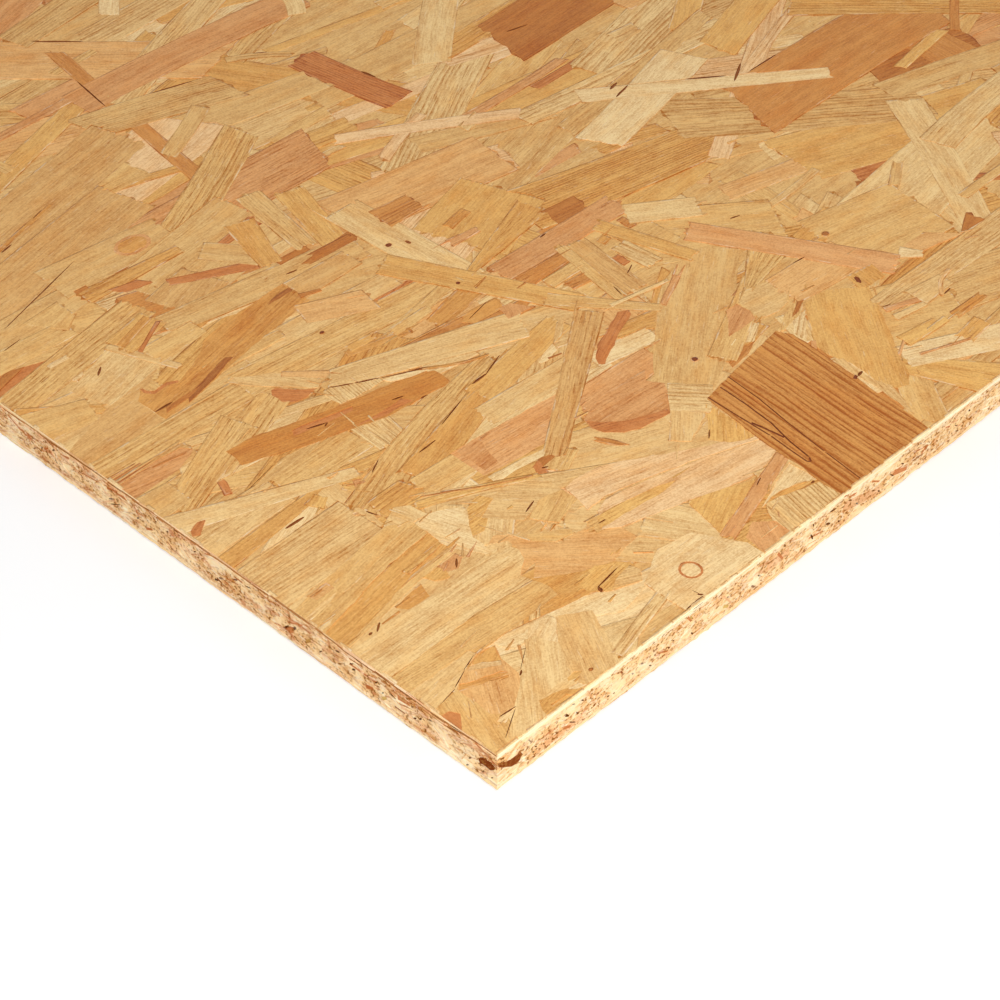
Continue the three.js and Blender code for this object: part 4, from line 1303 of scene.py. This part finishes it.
def scattered_voids(rng, half, count, keeps_clear=lambda s: False):
    """Voids scattered along an edge, apart from the stretch that keeps clear of them."""
    voids = []
    for _ in range(count):
        s, z = rng.uniform(-half, half), rng.triangular(2, 15.5, 9)
        if keeps_clear(s):
            continue
        length, tilt = rng.uniform(0.8, 3.4), rng.gauss(-0.2, 0.5)
        voids.append((s, z, s + length * math.cos(tilt), z + length * math.sin(tilt), rng.uniform(0.4, 1.1)))
    return voids


def sawn_edge(name, rng, half, count, along_face, place, back,
              marks=(), bark=(), voids=(), splits=(), rows=8):
    """One sawn edge, as a mitred bar between the two skins: that many leaves over its length
    and height, then its marks, its bark, its splits and its voids."""
    middle = THICKNESS / 2
    border = [Vector((p.x, p.y + middle)) for p in ragged_rectangle(half, middle - SKIN, rng, 6.0, 0)]
    flakes = sawn_flakes(rng, half, count, along_face)
    ground = Strand("sawn_peach", -half - 5, middle, half + 5, middle, THICKNESS + 2, THICKNESS + 2)
    ground.depth, ground.seed = EDGE_RELIEF, 0.5
    extra = [Strand(*mark, mark[-1] * 0.7) for mark in marks]
    extra += [Chip("bark", -25, bark)] if bark else []
    extra = [strand.laid(MARK_DEPTH, rng, 1.0) for strand in extra]
    for s0, z0, s1, z1, w in splits:
        lip = Strand("split", s0 - 1.5, z0, s1 + 1.5, z1, w * 0.5 + 0.5, w * 0.5 + 0.4, 0.3)
        extra.append(lip.laid(LIP_DEPTH, rng, 1.0))
    # the gaps along the splits and the voids are sunk and painted near black, as painted shade inside them
    gaps = [(SPLIT_DEPTH, Spot("shaded_void", s0, z0, s1, z1, 0.25 * w)) for s0, z0, s1, z1, w in splits]
    gaps += [(VOID_DEPTH, Spot("shaded_void", *shaded_void)) for shaded_void in voids]
    gaps = [gap.laid(depth * rng.uniform(0.7, 1.1), rng) for depth, gap in gaps]
    bar = pressed_skin(name, border, [ground] + flakes + extra + gaps, rng, SAWN_WOOD, place, back, rows=rows)
    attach(bar, "root")
    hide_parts("osb_panel")


def on_long_edge(rows):
    """Rows measured from the near corner, as measured from the middle of the long edge."""
    return [(*tone, s0 - half_x, z0, s1 - half_x, z1, w) for *tone, s0, z0, s1, z1, w in rows]


def on_short_edge(rows):
    """The same for the short edge, which starts at its far end."""
    return [(*tone, half_y - s1, z1, half_y - s0, z0, w) for *tone, s0, z0, s1, z1, w in rows]


SAWN_WOOD = strand_wood("sawn_strand_wood", wax=0.0, sawn=True)
half_x, half_y = LENGTH / 2, WIDTH / 2
mitre_x, mitre_y = (half_x - EDGE_DEPTH) / half_x, (half_y - EDGE_DEPTH) / half_y
LONG_LEAVES, SHORT_LEAVES = 1900, 950
LONG_LAID_OUT, SHORT_LAID_OUT = 285, 265  # how far from the near corner the voids are laid out

rng = random.Random(31)
sawn_edge(
    "front_sawn_edge", rng, half_x, LONG_LEAVES, True,
    lambda s, z, depth: (s, -half_y + depth, z),
    lambda s, z: (s * mitre_x, -half_y + EDGE_DEPTH, z),
    marks=on_long_edge(LONG_EDGE_MARKS),
    bark=[(s - half_x, z) for s, z in BARK_ON_LONG_EDGE],
    voids=(on_long_edge(LONG_EDGE_VOIDS)
           + scattered_voids(rng, half_x, 150, lambda s: s < LONG_LAID_OUT - half_x)),
)
sawn_edge(
    "left_sawn_edge", rng, half_y, SHORT_LEAVES, False,
    lambda s, z, depth: (-half_x + depth, -s, z),
    lambda s, z: (-half_x + EDGE_DEPTH, -s * mitre_y, z),
    marks=on_short_edge(SHORT_EDGE_MARKS),
    bark=[(half_y - s, z) for s, z in BARK_ON_SHORT_EDGE],
    voids=(on_short_edge(SHORT_EDGE_VOIDS)
           + scattered_voids(rng, half_y, 75, lambda s: s > half_y - SHORT_LAID_OUT)),
    splits=on_short_edge(SPLIT_LINES), rows=6,
)
sawn_edge(
    "back_sawn_edge", rng, half_x, LONG_LEAVES, True,
    lambda s, z, depth: (-s, half_y - depth, z),
    lambda s, z: (-s * mitre_x, half_y - EDGE_DEPTH, z),
    voids=scattered_voids(rng, half_x, 190),
)
sawn_edge(
    "right_sawn_edge", rng, half_y, SHORT_LEAVES, False,
    lambda s, z, depth: (half_x - depth, s, z),
    lambda s, z: (half_x - EDGE_DEPTH, s * mitre_y, z),
    voids=scattered_voids(rng, half_y, 95), rows=6,
)
